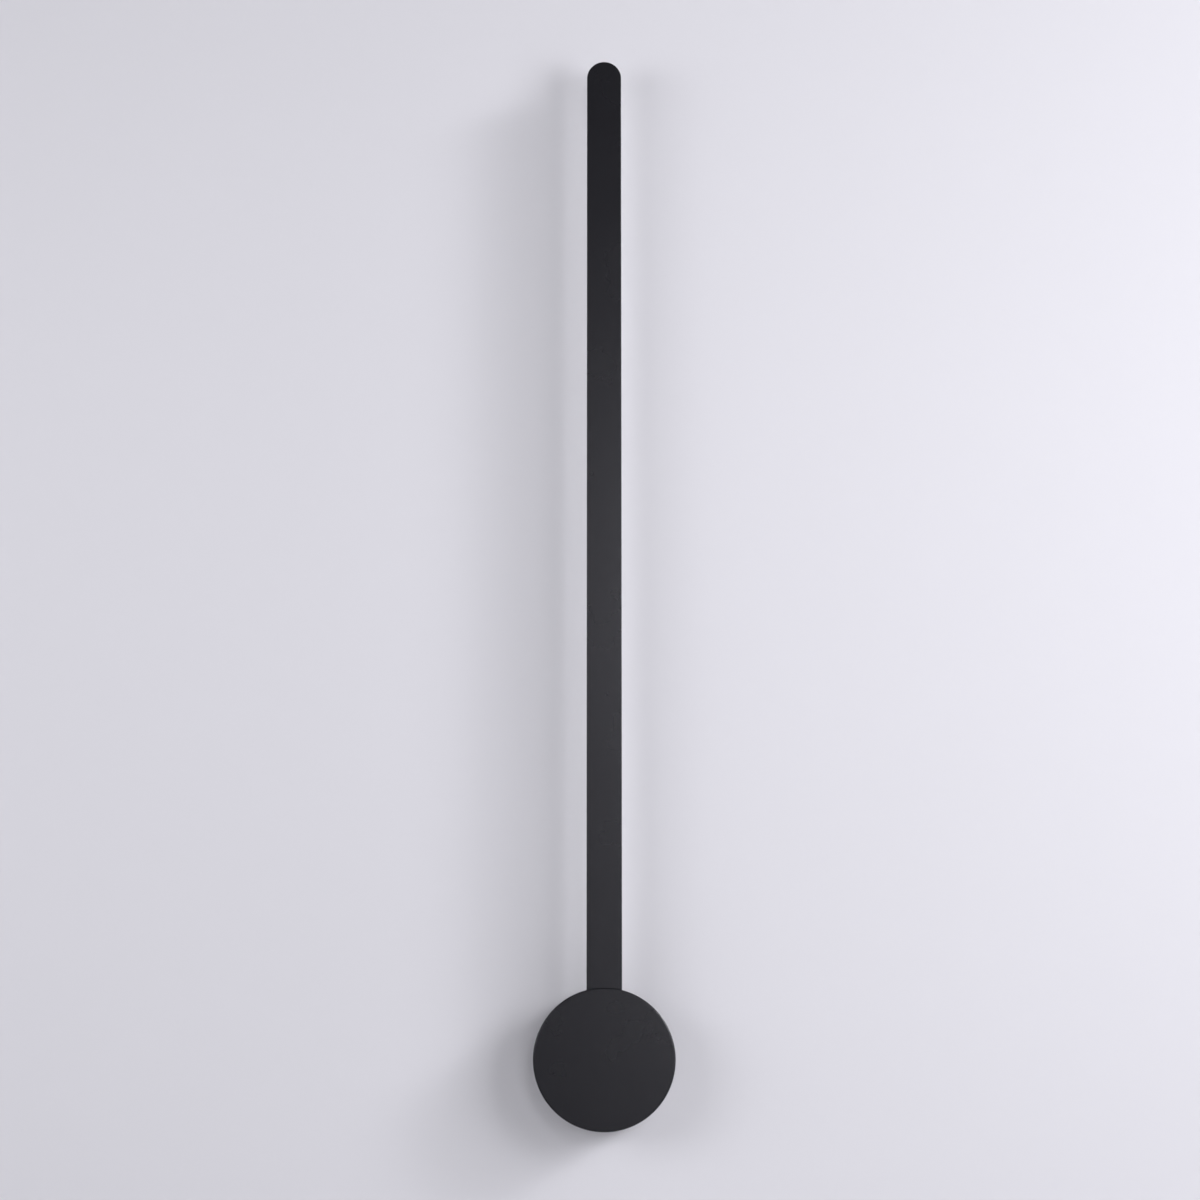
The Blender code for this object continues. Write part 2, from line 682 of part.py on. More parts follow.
def swivel_bearing():
    """The fixed side of the swivel: hollow threaded tube, its nuts and washers, and the stop pin."""
    ring("pivot_tube", TUBE_RADIUS, TUBE_BORE, (TUBE_REAR, TUBE_FRONT), brass, base, chamfer=0.5 * MM)
    washer_rear = BASE_INNER - GAP - 1 * MM
    ring("pivot_rear_washer", 9 * MM, TUBE_RADIUS + GAP, (washer_rear, BASE_INNER - GAP), zinc_steel, base)
    nut_front = washer_rear - GAP
    hex_nut("pivot_rear_nut", (nut_front - NUT_HEIGHT, nut_front), zinc_steel, base)
    friction = (BASE_FRONT + GAP, HUB_REAR - GAP)
    ring("friction_washer", 16 * MM, TUBE_RADIUS + GAP, friction, nylon, base, steps=48)
    wave_rear = HUB_FRONT + GAP
    wave_washer(wave_rear)
    flat = (wave_rear + 1.2 * MM, wave_rear + 2.2 * MM)
    ring("pivot_front_washer", 9 * MM, TUBE_RADIUS + GAP, flat, zinc_steel, base)
    nut_rear = flat[1] + GAP
    hex_nut("pivot_front_nut", (nut_rear, nut_rear + NUT_HEIGHT), zinc_steel, base)
    pin = (BASE_INNER + GAP, HUB_FRONT - 0.1 * MM)
    rod("stop_pin", STOP_PIN_RADIUS, pin, z=-STOP_RADIUS, material=zinc_steel, parent=base, segments=24)


def wave_washer(rear):
    """A three-wave spring washer that keeps the swivel's friction."""
    inner, outer, thick, wave, steps = 5.4 * MM, 8.6 * MM, 0.35 * MM, 0.25 * MM, 48
    bm = bmesh.new()
    rims = []
    for radius in (inner, outer):
        rim = []
        for i in range(steps):
            angle = 2 * math.pi * i / steps
            lift = wave * math.sin(3 * angle)
            place = (radius * math.cos(angle), lift, radius * math.sin(angle))
            rim.append(bm.verts.new(place))
        rims.append(rim)
    for i in range(steps):
        k = (i + 1) % steps
        bm.faces.new((rims[0][i], rims[1][i], rims[1][k], rims[0][k]))
    washer = object_from_bmesh("wave_washer", bm, zinc_steel, base)
    washer.location = at(0, rear + wave + thick / 2, 0)
    sheet = washer.modifiers.new("Sheet", "SOLIDIFY")
    sheet.thickness = thick
    sheet.offset = 0


# --- swivelling body: hub, arm and front cover ---------------------------------------------------


def hub_plate():
    """The steel plate that turns on the tube. Its tongue lies under the arm and meets the stop pin."""
    reach = math.degrees(math.asin(TONGUE_HALF_WIDTH / HUB_RADIUS))
    outline = arc(0, 0, HUB_RADIUS, 90 + reach, 450 - reach, 72)
    outline += [(TONGUE_HALF_WIDTH, TONGUE_END), (-TONGUE_HALF_WIDTH, TONGUE_END)]
    plate = outline_plate("hub_plate", outline, (HUB_REAR, HUB_FRONT), zinc_steel, arm)
    boolean(plate, rod("hub_bore", TUBE_RADIUS + GAP, (HUB_REAR - OVER, HUB_FRONT + OVER)))
    for i, (x, z) in enumerate(hub_screw_places()):
        profile = [(0, 4 * MM), (1.5 * MM + GAP, 4 * MM), (1.5 * MM + GAP, 1.7 * MM)]
        profile += [(2.8 * MM + GAP, 0.3 * MM), (2.8 * MM + GAP, -OVER), (0, -OVER)]
        sink = turned(f"hub_countersink_{i}", profile, 20)
        sink.location = at(x, HUB_REAR, z)
        boolean(plate, sink)


def hub_screw_places():
    return [(side * HUB_SCREW_X, z) for z in HUB_SCREW_HEIGHTS for side in (-1, 1)]


def arm_screw_places():
    return [(side * ARM_SCREW_X, z) for side, z in zip((1, -1), ARM_SCREW_HEIGHTS)]


def hub_screws():
    """Countersunk screws from the hub plate into the arm block."""
    mesh = screw_mesh("hub_screw", 1.5 * MM, 8 * MM, 2.8 * MM, 1.6 * MM, countersunk=True)
    for i, (x, z) in enumerate(hub_screw_places()):
        place_screw(f"hub_screw_{i + 1}", mesh, at(x, HUB_REAR + 0.1 * MM, z), zinc_steel, arm)


def arm_screws():
    """Countersunk screws through the arm's front, hidden under the disc, into the arm block."""
    mesh = screw_mesh("arm_screw", 1.5 * MM, 7 * MM, 2.8 * MM, 1.6 * MM, countersunk=True)
    for name, (x, z) in zip(("arm_screw_lower", "arm_screw_upper"), arm_screw_places()):
        place = at(x, ARM_FRONT - 0.1 * MM, z)
        place_screw(name, mesh, place, zinc_steel, arm, into_room=False)


def arm_block():
    """The aluminium block in the arm's foot: bored round the pivot nut and slotted for the cable."""
    depths = (HUB_FRONT + GAP, WEB_INNER - GAP)
    block = box("arm_block", BLOCK_HALF_WIDTH, depths, (BLOCK_BOTTOM, BLOCK_TOP), bare_aluminium, arm)
    through = (depths[0] - OVER, depths[1] + OVER)
    boolean(block, rod("block_bore", BLOCK_BORE, through, segments=40))
    boolean(block, box("block_slot", CABLE_SLOT / 2, through, (0, BLOCK_TOP + OVER)))
    for i, (x, z) in enumerate(hub_screw_places()):
        hole = rod(
            f"block_hub_hole_{i}", 1.5 * MM + GAP, (depths[0] - OVER, HUB_REAR + 9 * MM), x, z, segments=16
        )
        boolean(block, hole)
    for i, (x, z) in enumerate(arm_screw_places()):
        hole = rod(
            f"block_arm_hole_{i}", 1.5 * MM + GAP, (ARM_FRONT - 8 * MM, depths[1] + OVER), x, z, segments=16
        )
        boolean(block, hole)


def arm_channel():
    """The visible bar: a channel open towards the wall, with a half-round tip."""
    half = ARM_WIDTH / 2
    tip = ARM_TOP - half
    bar = outline_plate(
        "arm_channel", tip_outline(half, ARM_FOOT, tip, 32), (ARM_REAR, ARM_FRONT), black_paint, arm
    )
    bevel_edges(bar, 0.5 * MM, segments=2)
    pocket = outline_plate(
        "arm_pocket",
        tip_outline(half - ARM_WALL, ARM_FOOT - OVER, tip, 32),
        (ARM_REAR - OVER, WEB_INNER),
    )
    boolean(bar, pocket)
    for i, (x, z) in enumerate(arm_screw_places()):
        profile = [(0, OVER), (2.8 * MM + GAP, OVER), (2.8 * MM + GAP, -0.3 * MM)]
        profile += [(1.5 * MM + GAP, -1.7 * MM), (1.5 * MM + GAP, -4 * MM), (0, -4 * MM)]
        sink = turned(f"arm_countersink_{i}", profile, 20)
        sink.location = at(x, ARM_FRONT, z)
        boolean(bar, sink)


def light_source():
    """The LED strip on its thermal tape, and the opal diffuser that closes the arm's back."""
    tape_front = WEB_INNER - 0.25 * MM
    tape_rear = tape_front - 0.4 * MM
    box(
        "thermal_tape",
        STRIP_WIDTH / 2 - 1 * MM,
        (tape_rear, tape_front),
        (STRIP_BOTTOM + 2 * MM, STRIP_TOP - 2 * MM),
        thermal_pad,
        arm,
    )
    strip_front = tape_rear - 0.25 * MM
    strip_rear = strip_front - 1 * MM
    strip = box(
        "led_strip",
        STRIP_WIDTH / 2,
        (strip_rear, strip_front),
        (STRIP_BOTTOM, STRIP_TOP),
        led_board,
        arm,
    )
    chips = bmesh.new()
    chip_size = Vector((3.5 * MM, 1.1 * MM, 2.8 * MM))
    middle = (STRIP_BOTTOM + STRIP_TOP) / 2
    for i in range(LED_COUNT):
        z = middle + (i - (LED_COUNT - 1) / 2) * LED_PITCH
        place = Matrix.Translation(at(0, strip_rear - 0.15 * MM, z))
        bmesh.ops.create_cube(chips, size=1, matrix=place @ Matrix.Diagonal((*chip_size, 1)))
    boolean(strip, object_from_bmesh("led_chips", chips), "UNION")
    half = BLOCK_HALF_WIDTH
    tip = ARM_TOP - ARM_WIDTH / 2
    bottom = BLOCK_TOP + GAP
    rear = ARM_REAR + 0.2 * MM
    diffuser = outline_plate(
        "diffuser", tip_outline(half, bottom, tip, 32), (rear, rear + DIFFUSER_DEPTH), opal_plastic, arm
    )
    hollow = outline_plate(
        "diffuser_hollow",
        tip_outline(half - DIFFUSER_LEG, bottom - OVER, tip, 32),
        (rear + DIFFUSER_SKIN, rear + DIFFUSER_DEPTH + OVER),
    )
    boolean(diffuser, hollow)


def arm_cable():
    """The turning half of the output cable: out of the tube, round into the arm and up to the strip."""
    deep = WEB_INNER - GAP - CABLE_RADIUS
    route = [
        at(0, 32 * MM + GAP, 0),
        at(0, 36 * MM, 0),
        at(0, 40 * MM, 0),
        at(0, deep - 1.2 * MM, 1.4 * MM),
        at(0, deep, 4.6 * MM),
        at(0, deep, 14 * MM),
        at(0, deep, 40 * MM),
        at(0, deep, STRIP_BOTTOM - 0.5 * MM),
    ]
    wire("arm_cable", route, CABLE_RADIUS, cable_jacket, arm)


def front_cover():
    """The visible disc: a shallow cup over the hub, its rim notched for the arm, held by magnets."""
    front = arc(DISC_RADIUS - EDGE_RADIUS, DEPTH - EDGE_RADIUS, EDGE_RADIUS, 90, 0, 4)
    inner = DEPTH - COVER_PLATE
    profile = [(0, DEPTH), *front, (DISC_RADIUS, COVER_REAR), (COVER_INNER_RADIUS, COVER_REAR)]
    profile += [(COVER_INNER_RADIUS, inner), (0, inner)]
    cover = turned("front_cover", profile, SHELL_STEPS, black_paint, arm)
    notch = box(
        "cover_notch",
        ARM_WIDTH / 2 + GAP,
        (COVER_REAR - OVER, ARM_FRONT + GAP),
        (DISC_RADIUS - 12 * MM, DISC_RADIUS + OVER),
    )
    boolean(cover, notch)
    places = [(i * MAGNET_SPREAD, k * MAGNET_SPREAD) for k in (1, -1) for i in (-1, 1)]
    for i, (x, z) in enumerate(places):
        boss = rod(
            f"magnet_boss_{i}", MAGNET_BOSS_RADIUS, (MAGNET_REAR, inner + 0.5 * MM), x, z, segments=24
        )
        boolean(cover, boss, "UNION")
    for i, (x, z) in enumerate(places):
        seat = (MAGNET_REAR - OVER, MAGNET_REAR + MAGNET_HEIGHT + GAP)
        boolean(cover, rod(f"magnet_seat_{i}", MAGNET_RADIUS + GAP, seat, x, z, segments=24))
        depths = (MAGNET_REAR, MAGNET_REAR + MAGNET_HEIGHT)
        rod(f"cover_magnet_{i + 1}", MAGNET_RADIUS, depths, x, z, nickel, arm, segments=24)


# --- build ---------------------------------------------------------------------------------------

clear_scene()
parts = new_collection("linear_wall_light")
cutters = new_collection("cutters")

black_paint = new_material("black_paint", (0.012, 0.012, 0.014), 0.5)
zinc_steel = new_material("zinc_steel", (0.55, 0.56, 0.58), 0.35, 1.0)
bare_aluminium = new_material("bare_aluminium", (0.7, 0.7, 0.72), 0.4, 1.0)
brass = new_material("brass", (0.72, 0.52, 0.22), 0.3, 1.0)
nickel = new_material("nickel", (0.7, 0.69, 0.66), 0.2, 1.0)
nylon = new_material("nylon", (0.8, 0.8, 0.76), 0.5)
white_plastic = new_material("white_plastic", (0.78, 0.78, 0.74), 0.45)
grey_plastic = new_material("grey_plastic", (0.62, 0.63, 0.64), 0.5)
opal_plastic = new_material("opal_plastic", (0.85, 0.85, 0.83), 0.4)
circuit_board = new_material("circuit_board", (0.02, 0.11, 0.04), 0.45)
led_board = new_material("led_board", (0.75, 0.75, 0.72), 0.4)
thermal_pad = new_material("thermal_pad", (0.5, 0.52, 0.55), 0.8)
lead_live = new_material("lead_live", (0.22, 0.09, 0.04), 0.45)
lead_neutral = new_material("lead_neutral", (0.05, 0.16, 0.5), 0.45)
lead_earth = new_material("lead_earth", (0.3, 0.5, 0.06), 0.45)
cable_jacket = new_material("cable_jacket", (0.03, 0.03, 0.03), 0.5)

base = bpy.data.objects.new("base_origin", None)
arm = bpy.data.objects.new("arm_swivel", None)
for empty in (base, arm):
    parts.objects.link(empty)

wall_bracket()
base_housing()
side_screws()
earth_point()
terminal_block()
driver()
base_leads()
swivel_bearing()
hub_plate()
hub_screws()
arm_screws()
arm_block()
arm_channel()
light_source()
arm_cable()
front_cover()

for part in parts.objects:
    if part.type == "MESH":
        shade_round(part)
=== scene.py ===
import json
import math

import bmesh
import bpy
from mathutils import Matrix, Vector

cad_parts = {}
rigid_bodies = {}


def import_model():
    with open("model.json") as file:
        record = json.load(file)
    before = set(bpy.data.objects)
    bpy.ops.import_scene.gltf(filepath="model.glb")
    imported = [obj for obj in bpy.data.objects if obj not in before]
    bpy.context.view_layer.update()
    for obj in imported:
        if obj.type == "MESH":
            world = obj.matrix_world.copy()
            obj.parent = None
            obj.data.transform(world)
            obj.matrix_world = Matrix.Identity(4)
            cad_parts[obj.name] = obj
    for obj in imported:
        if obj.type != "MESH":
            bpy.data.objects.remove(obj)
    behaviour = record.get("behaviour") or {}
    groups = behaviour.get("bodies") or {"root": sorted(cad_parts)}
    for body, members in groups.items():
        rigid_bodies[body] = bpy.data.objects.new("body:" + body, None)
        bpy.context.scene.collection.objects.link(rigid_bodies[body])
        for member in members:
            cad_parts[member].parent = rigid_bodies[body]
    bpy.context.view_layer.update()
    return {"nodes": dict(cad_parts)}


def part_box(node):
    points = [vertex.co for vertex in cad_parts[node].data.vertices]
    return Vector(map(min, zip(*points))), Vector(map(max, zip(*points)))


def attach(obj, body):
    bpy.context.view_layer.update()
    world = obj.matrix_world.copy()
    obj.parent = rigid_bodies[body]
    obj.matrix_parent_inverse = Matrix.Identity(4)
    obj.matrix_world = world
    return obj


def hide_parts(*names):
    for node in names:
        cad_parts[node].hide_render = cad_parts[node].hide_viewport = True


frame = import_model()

mm = 0.001
past = 1 * mm  # how far a cutter reaches past the surface
looks = {}  # finished materials by name
print("frame loaded:", len(frame["nodes"]), "nodes")


# selecting and editing, as it is done by hand

def clearSelection():
    if bpy.context.object and bpy.context.object.mode != "OBJECT":
        bpy.ops.object.mode_set(mode="OBJECT")
    bpy.ops.object.select_all(action="DESELECT")


def selectOnly(piece):
    clearSelection()
    piece.select_set(True)
    bpy.context.view_layer.objects.active = piece


def startEdit(piece, mode="FACE"):
    selectOnly(piece)
    bpy.ops.object.mode_set(mode="EDIT")
    bpy.ops.mesh.select_mode(type=mode)
    bpy.ops.mesh.select_all(action="DESELECT")


def pickFaces(piece, test):
    bm = bmesh.from_edit_mesh(piece.data)
    bm.normal_update()
    for face in bm.faces:
        face.select_set(bool(test(face.calc_center_median(), face.normal)))
    bmesh.update_edit_mesh(piece.data)


def pickEdges(piece, test):
    bm = bmesh.from_edit_mesh(piece.data)
    bm.normal_update()
    for edge in bm.edges:
        edge.select_set(bool(test(edge)))
    bmesh.update_edit_mesh(piece.data)


def near(a, b, slack=0.00002):
    return abs(a - b) < slack


def cornerAt(y):  # the corner edges that lie at one depth
    return lambda edge: all(near(v.co.y, y) for v in edge.verts) and edge.calc_face_angle(0) > 0.6


def extrudeBy(step):
    bpy.ops.mesh.extrude_region_move(TRANSFORM_OT_translate={"value": step})


def roundEdges(width, steps=3):
    bpy.ops.mesh.bevel(offset=width, offset_type="OFFSET", segments=steps, profile=0.5, affect="EDGES")


def settle(piece):  # puts its place and turn into its mesh
    selectOnly(piece)
    bpy.ops.object.transform_apply(location=True, rotation=True, scale=True)
    return piece


def named(name, look=None):  # takes the piece just added
    piece = bpy.context.object
    piece.name = name
    piece.data.name = name
    settle(piece)
    if look:
        piece.data.materials.clear()
        piece.data.materials.append(looks[look])
    return piece


def addBox(name, low, high, look=None):
    clearSelection()
    low, high = Vector(low), Vector(high)
    bpy.ops.mesh.primitive_cube_add(size=1, location=(low + high) / 2, scale=high - low)
    return named(name, look)


def addRod(name, radius, start, end, sides=48, look=None):
    clearSelection()
    start, end = Vector(start), Vector(end)
    turn = (end - start).to_track_quat("Z", "Y").to_euler()
    bpy.ops.mesh.primitive_cylinder_add(
        vertices=sides, radius=radius, depth=(end - start).length, location=(start + end) / 2,
        rotation=turn)
    return named(name, look)


def turnedPiece(name, look, profile, sides=48):  # a disc drawn out ring by ring along (radius, y)
    clearSelection()
    radius, y = profile[0]
    bpy.ops.mesh.primitive_circle_add(
        vertices=sides, radius=radius, fill_type="NGON", location=(0, y, 0), rotation=(math.pi / 2, 0, 0))
    piece = named(name, look)
    startEdit(piece)
    bpy.ops.mesh.select_all(action="SELECT")
    for nextRadius, nextY in profile[1:]:
        extrudeBy((0, nextY - y, 0))
        size = nextRadius / radius
        bpy.ops.transform.resize(value=(size, 1, size), center_override=(0, nextY, 0))
        radius, y = nextRadius, nextY
    bpy.ops.mesh.select_all(action="SELECT")
    bpy.ops.mesh.normals_make_consistent(inside=False)
    clearSelection()
    return piece


def roundedBlock(name, low, high, corner, look=None):  # a box whose edges along Y are rounded
    piece = addBox(name, low, high, look)
    startEdit(piece, "EDGE")
    pickEdges(piece, lambda edge: abs(edge.verts[0].co.y - edge.verts[1].co.y) > 0.1 * mm)
    roundEdges(corner, 6)
    clearSelection()
    return piece


def combine(piece, other, operation="DIFFERENCE"):  # the other piece is used up
    selectOnly(piece)
    change = piece.modifiers.new("shape", "BOOLEAN")
    change.operation = operation
    change.object = other
    bpy.ops.object.modifier_apply(modifier=change.name)
    bpy.data.objects.remove(other, do_unlink=True)
    return piece


def drill(piece, radius, start, end, sides=40):
    return combine(piece, addRod("drill", radius, start, end, sides))


def drillAt(piece, radius, x, z, start, end, sides=40):  # a round hole along Y
    return drill(piece, radius, (x, start, z), (x, end, z), sides)


def softenCorners(piece, width, steps=2, angle=40):
    selectOnly(piece)
    bevel = piece.modifiers.new("corners", "BEVEL")
    bevel.width = width
    bevel.segments = steps
    bevel.limit_method = "ANGLE"
    bevel.angle_limit = math.radians(angle)
    bevel.use_clamp_overlap = True
    bpy.ops.object.modifier_apply(modifier=bevel.name)
    return piece


def mergeSlivers(piece):  # closes what the cutting and rounding left too small to see
    startEdit(piece, "VERT")
    bpy.ops.mesh.select_all(action="SELECT")
    bpy.ops.mesh.remove_doubles(threshold=0.000004)
    bpy.ops.mesh.dissolve_degenerate(threshold=0.000002)
    clearSelection()


def joinInto(piece, others):
    clearSelection()
    for other in others:
        other.select_set(True)
    piece.select_set(True)
    bpy.context.view_layer.objects.active = piece
    bpy.ops.object.join()
    return piece


def copyOf(piece, name, place, turn=(0, 0, 0)):
    twin = piece.copy()
    twin.data = piece.data.copy()
    twin.name = name
    bpy.context.collection.objects.link(twin)
    twin.location, twin.rotation_euler = place, turn
    return settle(twin)


def finish(piece, body, nodes, angle=32):
    selectOnly(piece)
    bpy.ops.object.shade_smooth_by_angle(angle=math.radians(angle))
    evenNormals = piece.modifiers.new("evenNormals", "WEIGHTED_NORMAL")
    evenNormals.keep_sharp = True
    bpy.ops.object.modifier_apply(modifier=evenNormals.name)
    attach(piece, body)
    if nodes:
        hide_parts(*nodes)
    return piece


def middle(node):
    low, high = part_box(node)
    return (low + high) / 2


# shader node groups: each puts out only masks and heights

def newGroup(name, inputs, outputs):
    group = bpy.data.node_groups.new(name, "ShaderNodeTree")
    for label, value in inputs.items():
        socket = group.interface.new_socket(name=label, in_out="INPUT", socket_type="NodeSocketFloat")
        socket.default_value = value
    for label in outputs:
        group.interface.new_socket(name=label, in_out="OUTPUT", socket_type="NodeSocketFloat")
    start = group.nodes.new("NodeGroupInput")
    end = group.nodes.new("NodeGroupOutput")
    return group, start, end


def mathNode(tree, operation, a, b, clamp=False):
    node = tree.nodes.new("ShaderNodeMath")
    node.operation = operation
    node.use_clamp = clamp
    for socket, value in zip(node.inputs, (a, b)):
        if isinstance(value, (int, float)):
            socket.default_value = value
        else:
            tree.links.new(value, socket)
    return node.outputs[0]


def times(tree, a, b, clamp=False):
    return mathNode(tree, "MULTIPLY", a, b, clamp)


def noiseNode(tree, vector, scale, detail=3.0, rough=0.5):
    node = tree.nodes.new("ShaderNodeTexNoise")
    node.inputs["Detail"].default_value = detail
    node.inputs["Roughness"].default_value = rough
    tree.links.new(vector, node.inputs["Vector"])
    if isinstance(scale, (int, float)):
        node.inputs["Scale"].default_value = scale
    else:
        tree.links.new(scale, node.inputs["Scale"])
    return node.outputs["Fac"]


def spanNode(tree, value, low, high, outLow=0, outHigh=1):
    node = tree.nodes.new("ShaderNodeMapRange")
    tree.links.new(value, node.inputs["Value"])
    for label, number in (("From Min", low), ("From Max", high), ("To Min", outLow), ("To Max", outHigh)):
        node.inputs[label].default_value = number
    return node.outputs["Result"]


def objectPlace(tree):
    return tree.nodes.new("ShaderNodeTexCoord").outputs["Object"]


def powderGroup():  # baked powder coat: soft orange peel, fine grain and sparse pale flecks
    group, start, end = newGroup("powderCoat", {"Scale": 1.0}, ("Height", "Tone", "Fleck"))
    place, size = objectPlace(group), start.outputs["Scale"]
    peel = noiseNode(group, place, times(group, size, 900.0), 2.0)
    grain = noiseNode(group, place, times(group, size, 3600.0), 2.0)
    broad = noiseNode(group, place, times(group, size, 18.0), 4.0)
    peel, grain = times(group, peel, 0.65), times(group, grain, 0.35)
    height = mathNode(group, "ADD", peel, grain)
    spots = group.nodes.new("ShaderNodeTexVoronoi")
    group.links.new(place, spots.inputs["Vector"])
    group.links.new(times(group, size, 420.0), spots.inputs["Scale"])
    fleck = spanNode(group, spots.outputs["Distance"], 0.09, 0.05)
    sparse = spanNode(group, noiseNode(group, place, 240.0, 1.0), 0.66, 0.7)
    group.links.new(height, end.inputs["Height"])
    group.links.new(broad, end.inputs["Tone"])
    group.links.new(times(group, fleck, sparse), end.inputs["Fleck"])
    return group


def wearGroup():  # rubbed corners, broken up so that they are not an even line
    group, start, end = newGroup("edgeWear", {"Spread": 0.04, "Breakup": 90.0}, ("Mask",))
    place = objectPlace(group)
    bend = group.nodes.new("ShaderNodeNewGeometry").outputs["Pointiness"]
    raised = mathNode(group, "SUBTRACT", bend, 0.56)
    lift = mathNode(group, "DIVIDE", raised, start.outputs["Spread"], True)
    patchy = spanNode(group, noiseNode(group, place, start.outputs["Breakup"], 4.0), 0.35, 0.7)
    group.links.new(times(group, lift, patchy, True), end.inputs["Mask"])
    return group


def brushGroup():  # drawn or rolled metal: long fine streaks along X
    group, start, end = newGroup("metalGrain", {"Scale": 1.0}, ("Height", "Streak", "Stain"))
    place = objectPlace(group)
    stretch = group.nodes.new("ShaderNodeMapping")
    stretch.inputs["Scale"].default_value = (0.04, 1.0, 1.0)
    group.links.new(place, stretch.inputs["Vector"])
    size = start.outputs["Scale"]
    streak = noiseNode(group, stretch.outputs["Vector"], times(group, size, 2600.0), 4.0, 0.65)
    stain = noiseNode(group, place, times(group, size, 260.0), 5.0, 0.6)
    group.links.new(streak, end.inputs["Height"])
    group.links.new(streak, end.inputs["Streak"])
    group.links.new(stain, end.inputs["Stain"])
    return group


def mouldGroup():  # moulded plastic: spark-eroded texture and slow flow marks
    group, start, end = newGroup("mouldedSkin", {"Scale": 1.0}, ("Height", "Flow"))
    place = objectPlace(group)
    skin = noiseNode(group, place, times(group, start.outputs["Scale"], 2400.0), 3.0, 0.6)
    flow = noiseNode(group, place, times(group, start.outputs["Scale"], 55.0), 3.0)
    group.links.new(skin, end.inputs["Height"])
    group.links.new(flow, end.inputs["Flow"])
    return group


def dustGroup():  # a little dust where a surface looks up
    group, start, end = newGroup("shelfDust", {"Amount": 0.3}, ("Mask",))
    place = objectPlace(group)
    normal = group.nodes.new("ShaderNodeNewGeometry").outputs["Normal"]
    parts = group.nodes.new("ShaderNodeSeparateXYZ")
    group.links.new(normal, parts.inputs[0])
    facing = spanNode(group, parts.outputs["Z"], 0.45, 1.0)
    speck = spanNode(group, noiseNode(group, place, 700.0, 5.0, 0.7), 0.4, 0.75)
    mask = times(group, facing, speck)
    group.links.new(times(group, mask, start.outputs["Amount"], True), end.inputs["Mask"])
    return group


groups = {
    "powder": powderGroup(), "wear": wearGroup(), "brush": brushGroup(), "mould": mouldGroup(),
    "dust": dustGroup()}


def placeGroup(tree, kind, values):
    node = tree.nodes.new("ShaderNodeGroup")
    node.node_tree = groups[kind]
    for label, value in values.items():
        node.inputs[label].default_value = value
    return node


def blendColour(tree, mask, first, second):
    node = tree.nodes.new("ShaderNodeMix")
    node.data_type = "RGBA"
    tree.links.new(mask, node.inputs["Factor"])
    for socket, value in ((node.inputs["A"], first), (node.inputs["B"], second)):
        if isinstance(value, tuple):
            socket.default_value = (*value, 1)
        else:
            tree.links.new(value, socket)
    return node.outputs["Result"]


def newLook(name, metallic=0.0):
    material = bpy.data.materials.new(name)
    material.use_nodes = True
    shader = material.node_tree.nodes["Principled BSDF"]
    shader.inputs["Metallic"].default_value = metallic
    looks[name] = material
    return material.node_tree, shader


def bumpInto(tree, shader, height, strength, distance):
    bump = tree.nodes.new("ShaderNodeBump")
    bump.inputs["Strength"].default_value = strength
    bump.inputs["Distance"].default_value = distance
    tree.links.new(height, bump.inputs["Height"])
    tree.links.new(bump.outputs["Normal"], shader.inputs["Normal"])


peelDepth, grainDepth = 0.05 * mm, 0.02 * mm


def coatLook(name, look):
    tree, shader = newLook(name)
    powder = placeGroup(tree, "powder", {"Scale": look.get("scale", 1.0)})
    dust = placeGroup(tree, "dust", {"Amount": look["dust"]})
    tone = blendColour(tree, powder.outputs["Tone"], look["dark"], look["light"])
    tone = blendColour(tree, powder.outputs["Fleck"], tone, look["fleck"])
    tone = blendColour(tree, dust.outputs["Mask"], tone, look["dustColour"])
    tree.links.new(tone, shader.inputs["Base Color"])
    rough = spanNode(tree, powder.outputs["Tone"], 0.3, 0.7, *look["rough"])
    tree.links.new(rough, shader.inputs["Roughness"])
    bumpInto(tree, shader, powder.outputs["Height"], look["bump"], peelDepth)


def metalLook(name, look):
    tree, shader = newLook(name, 1.0)
    grain = placeGroup(tree, "brush", {"Scale": look.get("scale", 1.0)})
    wear = placeGroup(tree, "wear", {"Spread": 0.05})
    tone = blendColour(tree, grain.outputs["Streak"], look["dark"], look["light"])
    stain = grain.outputs["Stain"]
    stained = blendColour(tree, spanNode(tree, stain, 0.5, 0.85, 0, 0.3), tone, look["stain"])
    tone = blendColour(tree, wear.outputs["Mask"], stained, look["worn"])
    tree.links.new(tone, shader.inputs["Base Color"])
    tree.links.new(spanNode(tree, stain, 0.25, 0.75, *look["rough"]), shader.inputs["Roughness"])
    bumpInto(tree, shader, grain.outputs["Height"], look["bump"], grainDepth)


def plasticLook(name, look):
    tree, shader = newLook(name)
    skin = placeGroup(tree, "mould", {"Scale": look.get("scale", 1.0)})
    wear = placeGroup(tree, "wear", {"Spread": 0.08})
    tone = blendColour(tree, skin.outputs["Flow"], look["dark"], look["light"])
    tone = blendColour(tree, wear.outputs["Mask"], tone, look["worn"])
    tree.links.new(tone, shader.inputs["Base Color"])
    rough = spanNode(tree, skin.outputs["Flow"], 0.3, 0.7, *look["rough"])
    tree.links.new(rough, shader.inputs["Roughness"])
    if look.get("soft"):
        shader.inputs["Subsurface Weight"].default_value = look["soft"]
        shader.inputs["Subsurface Scale"].default_value = 2 * mm
        shader.inputs["Subsurface Radius"].default_value = (1, 1, 1)
    bumpInto(tree, shader, skin.outputs["Height"], look["bump"], grainDepth)


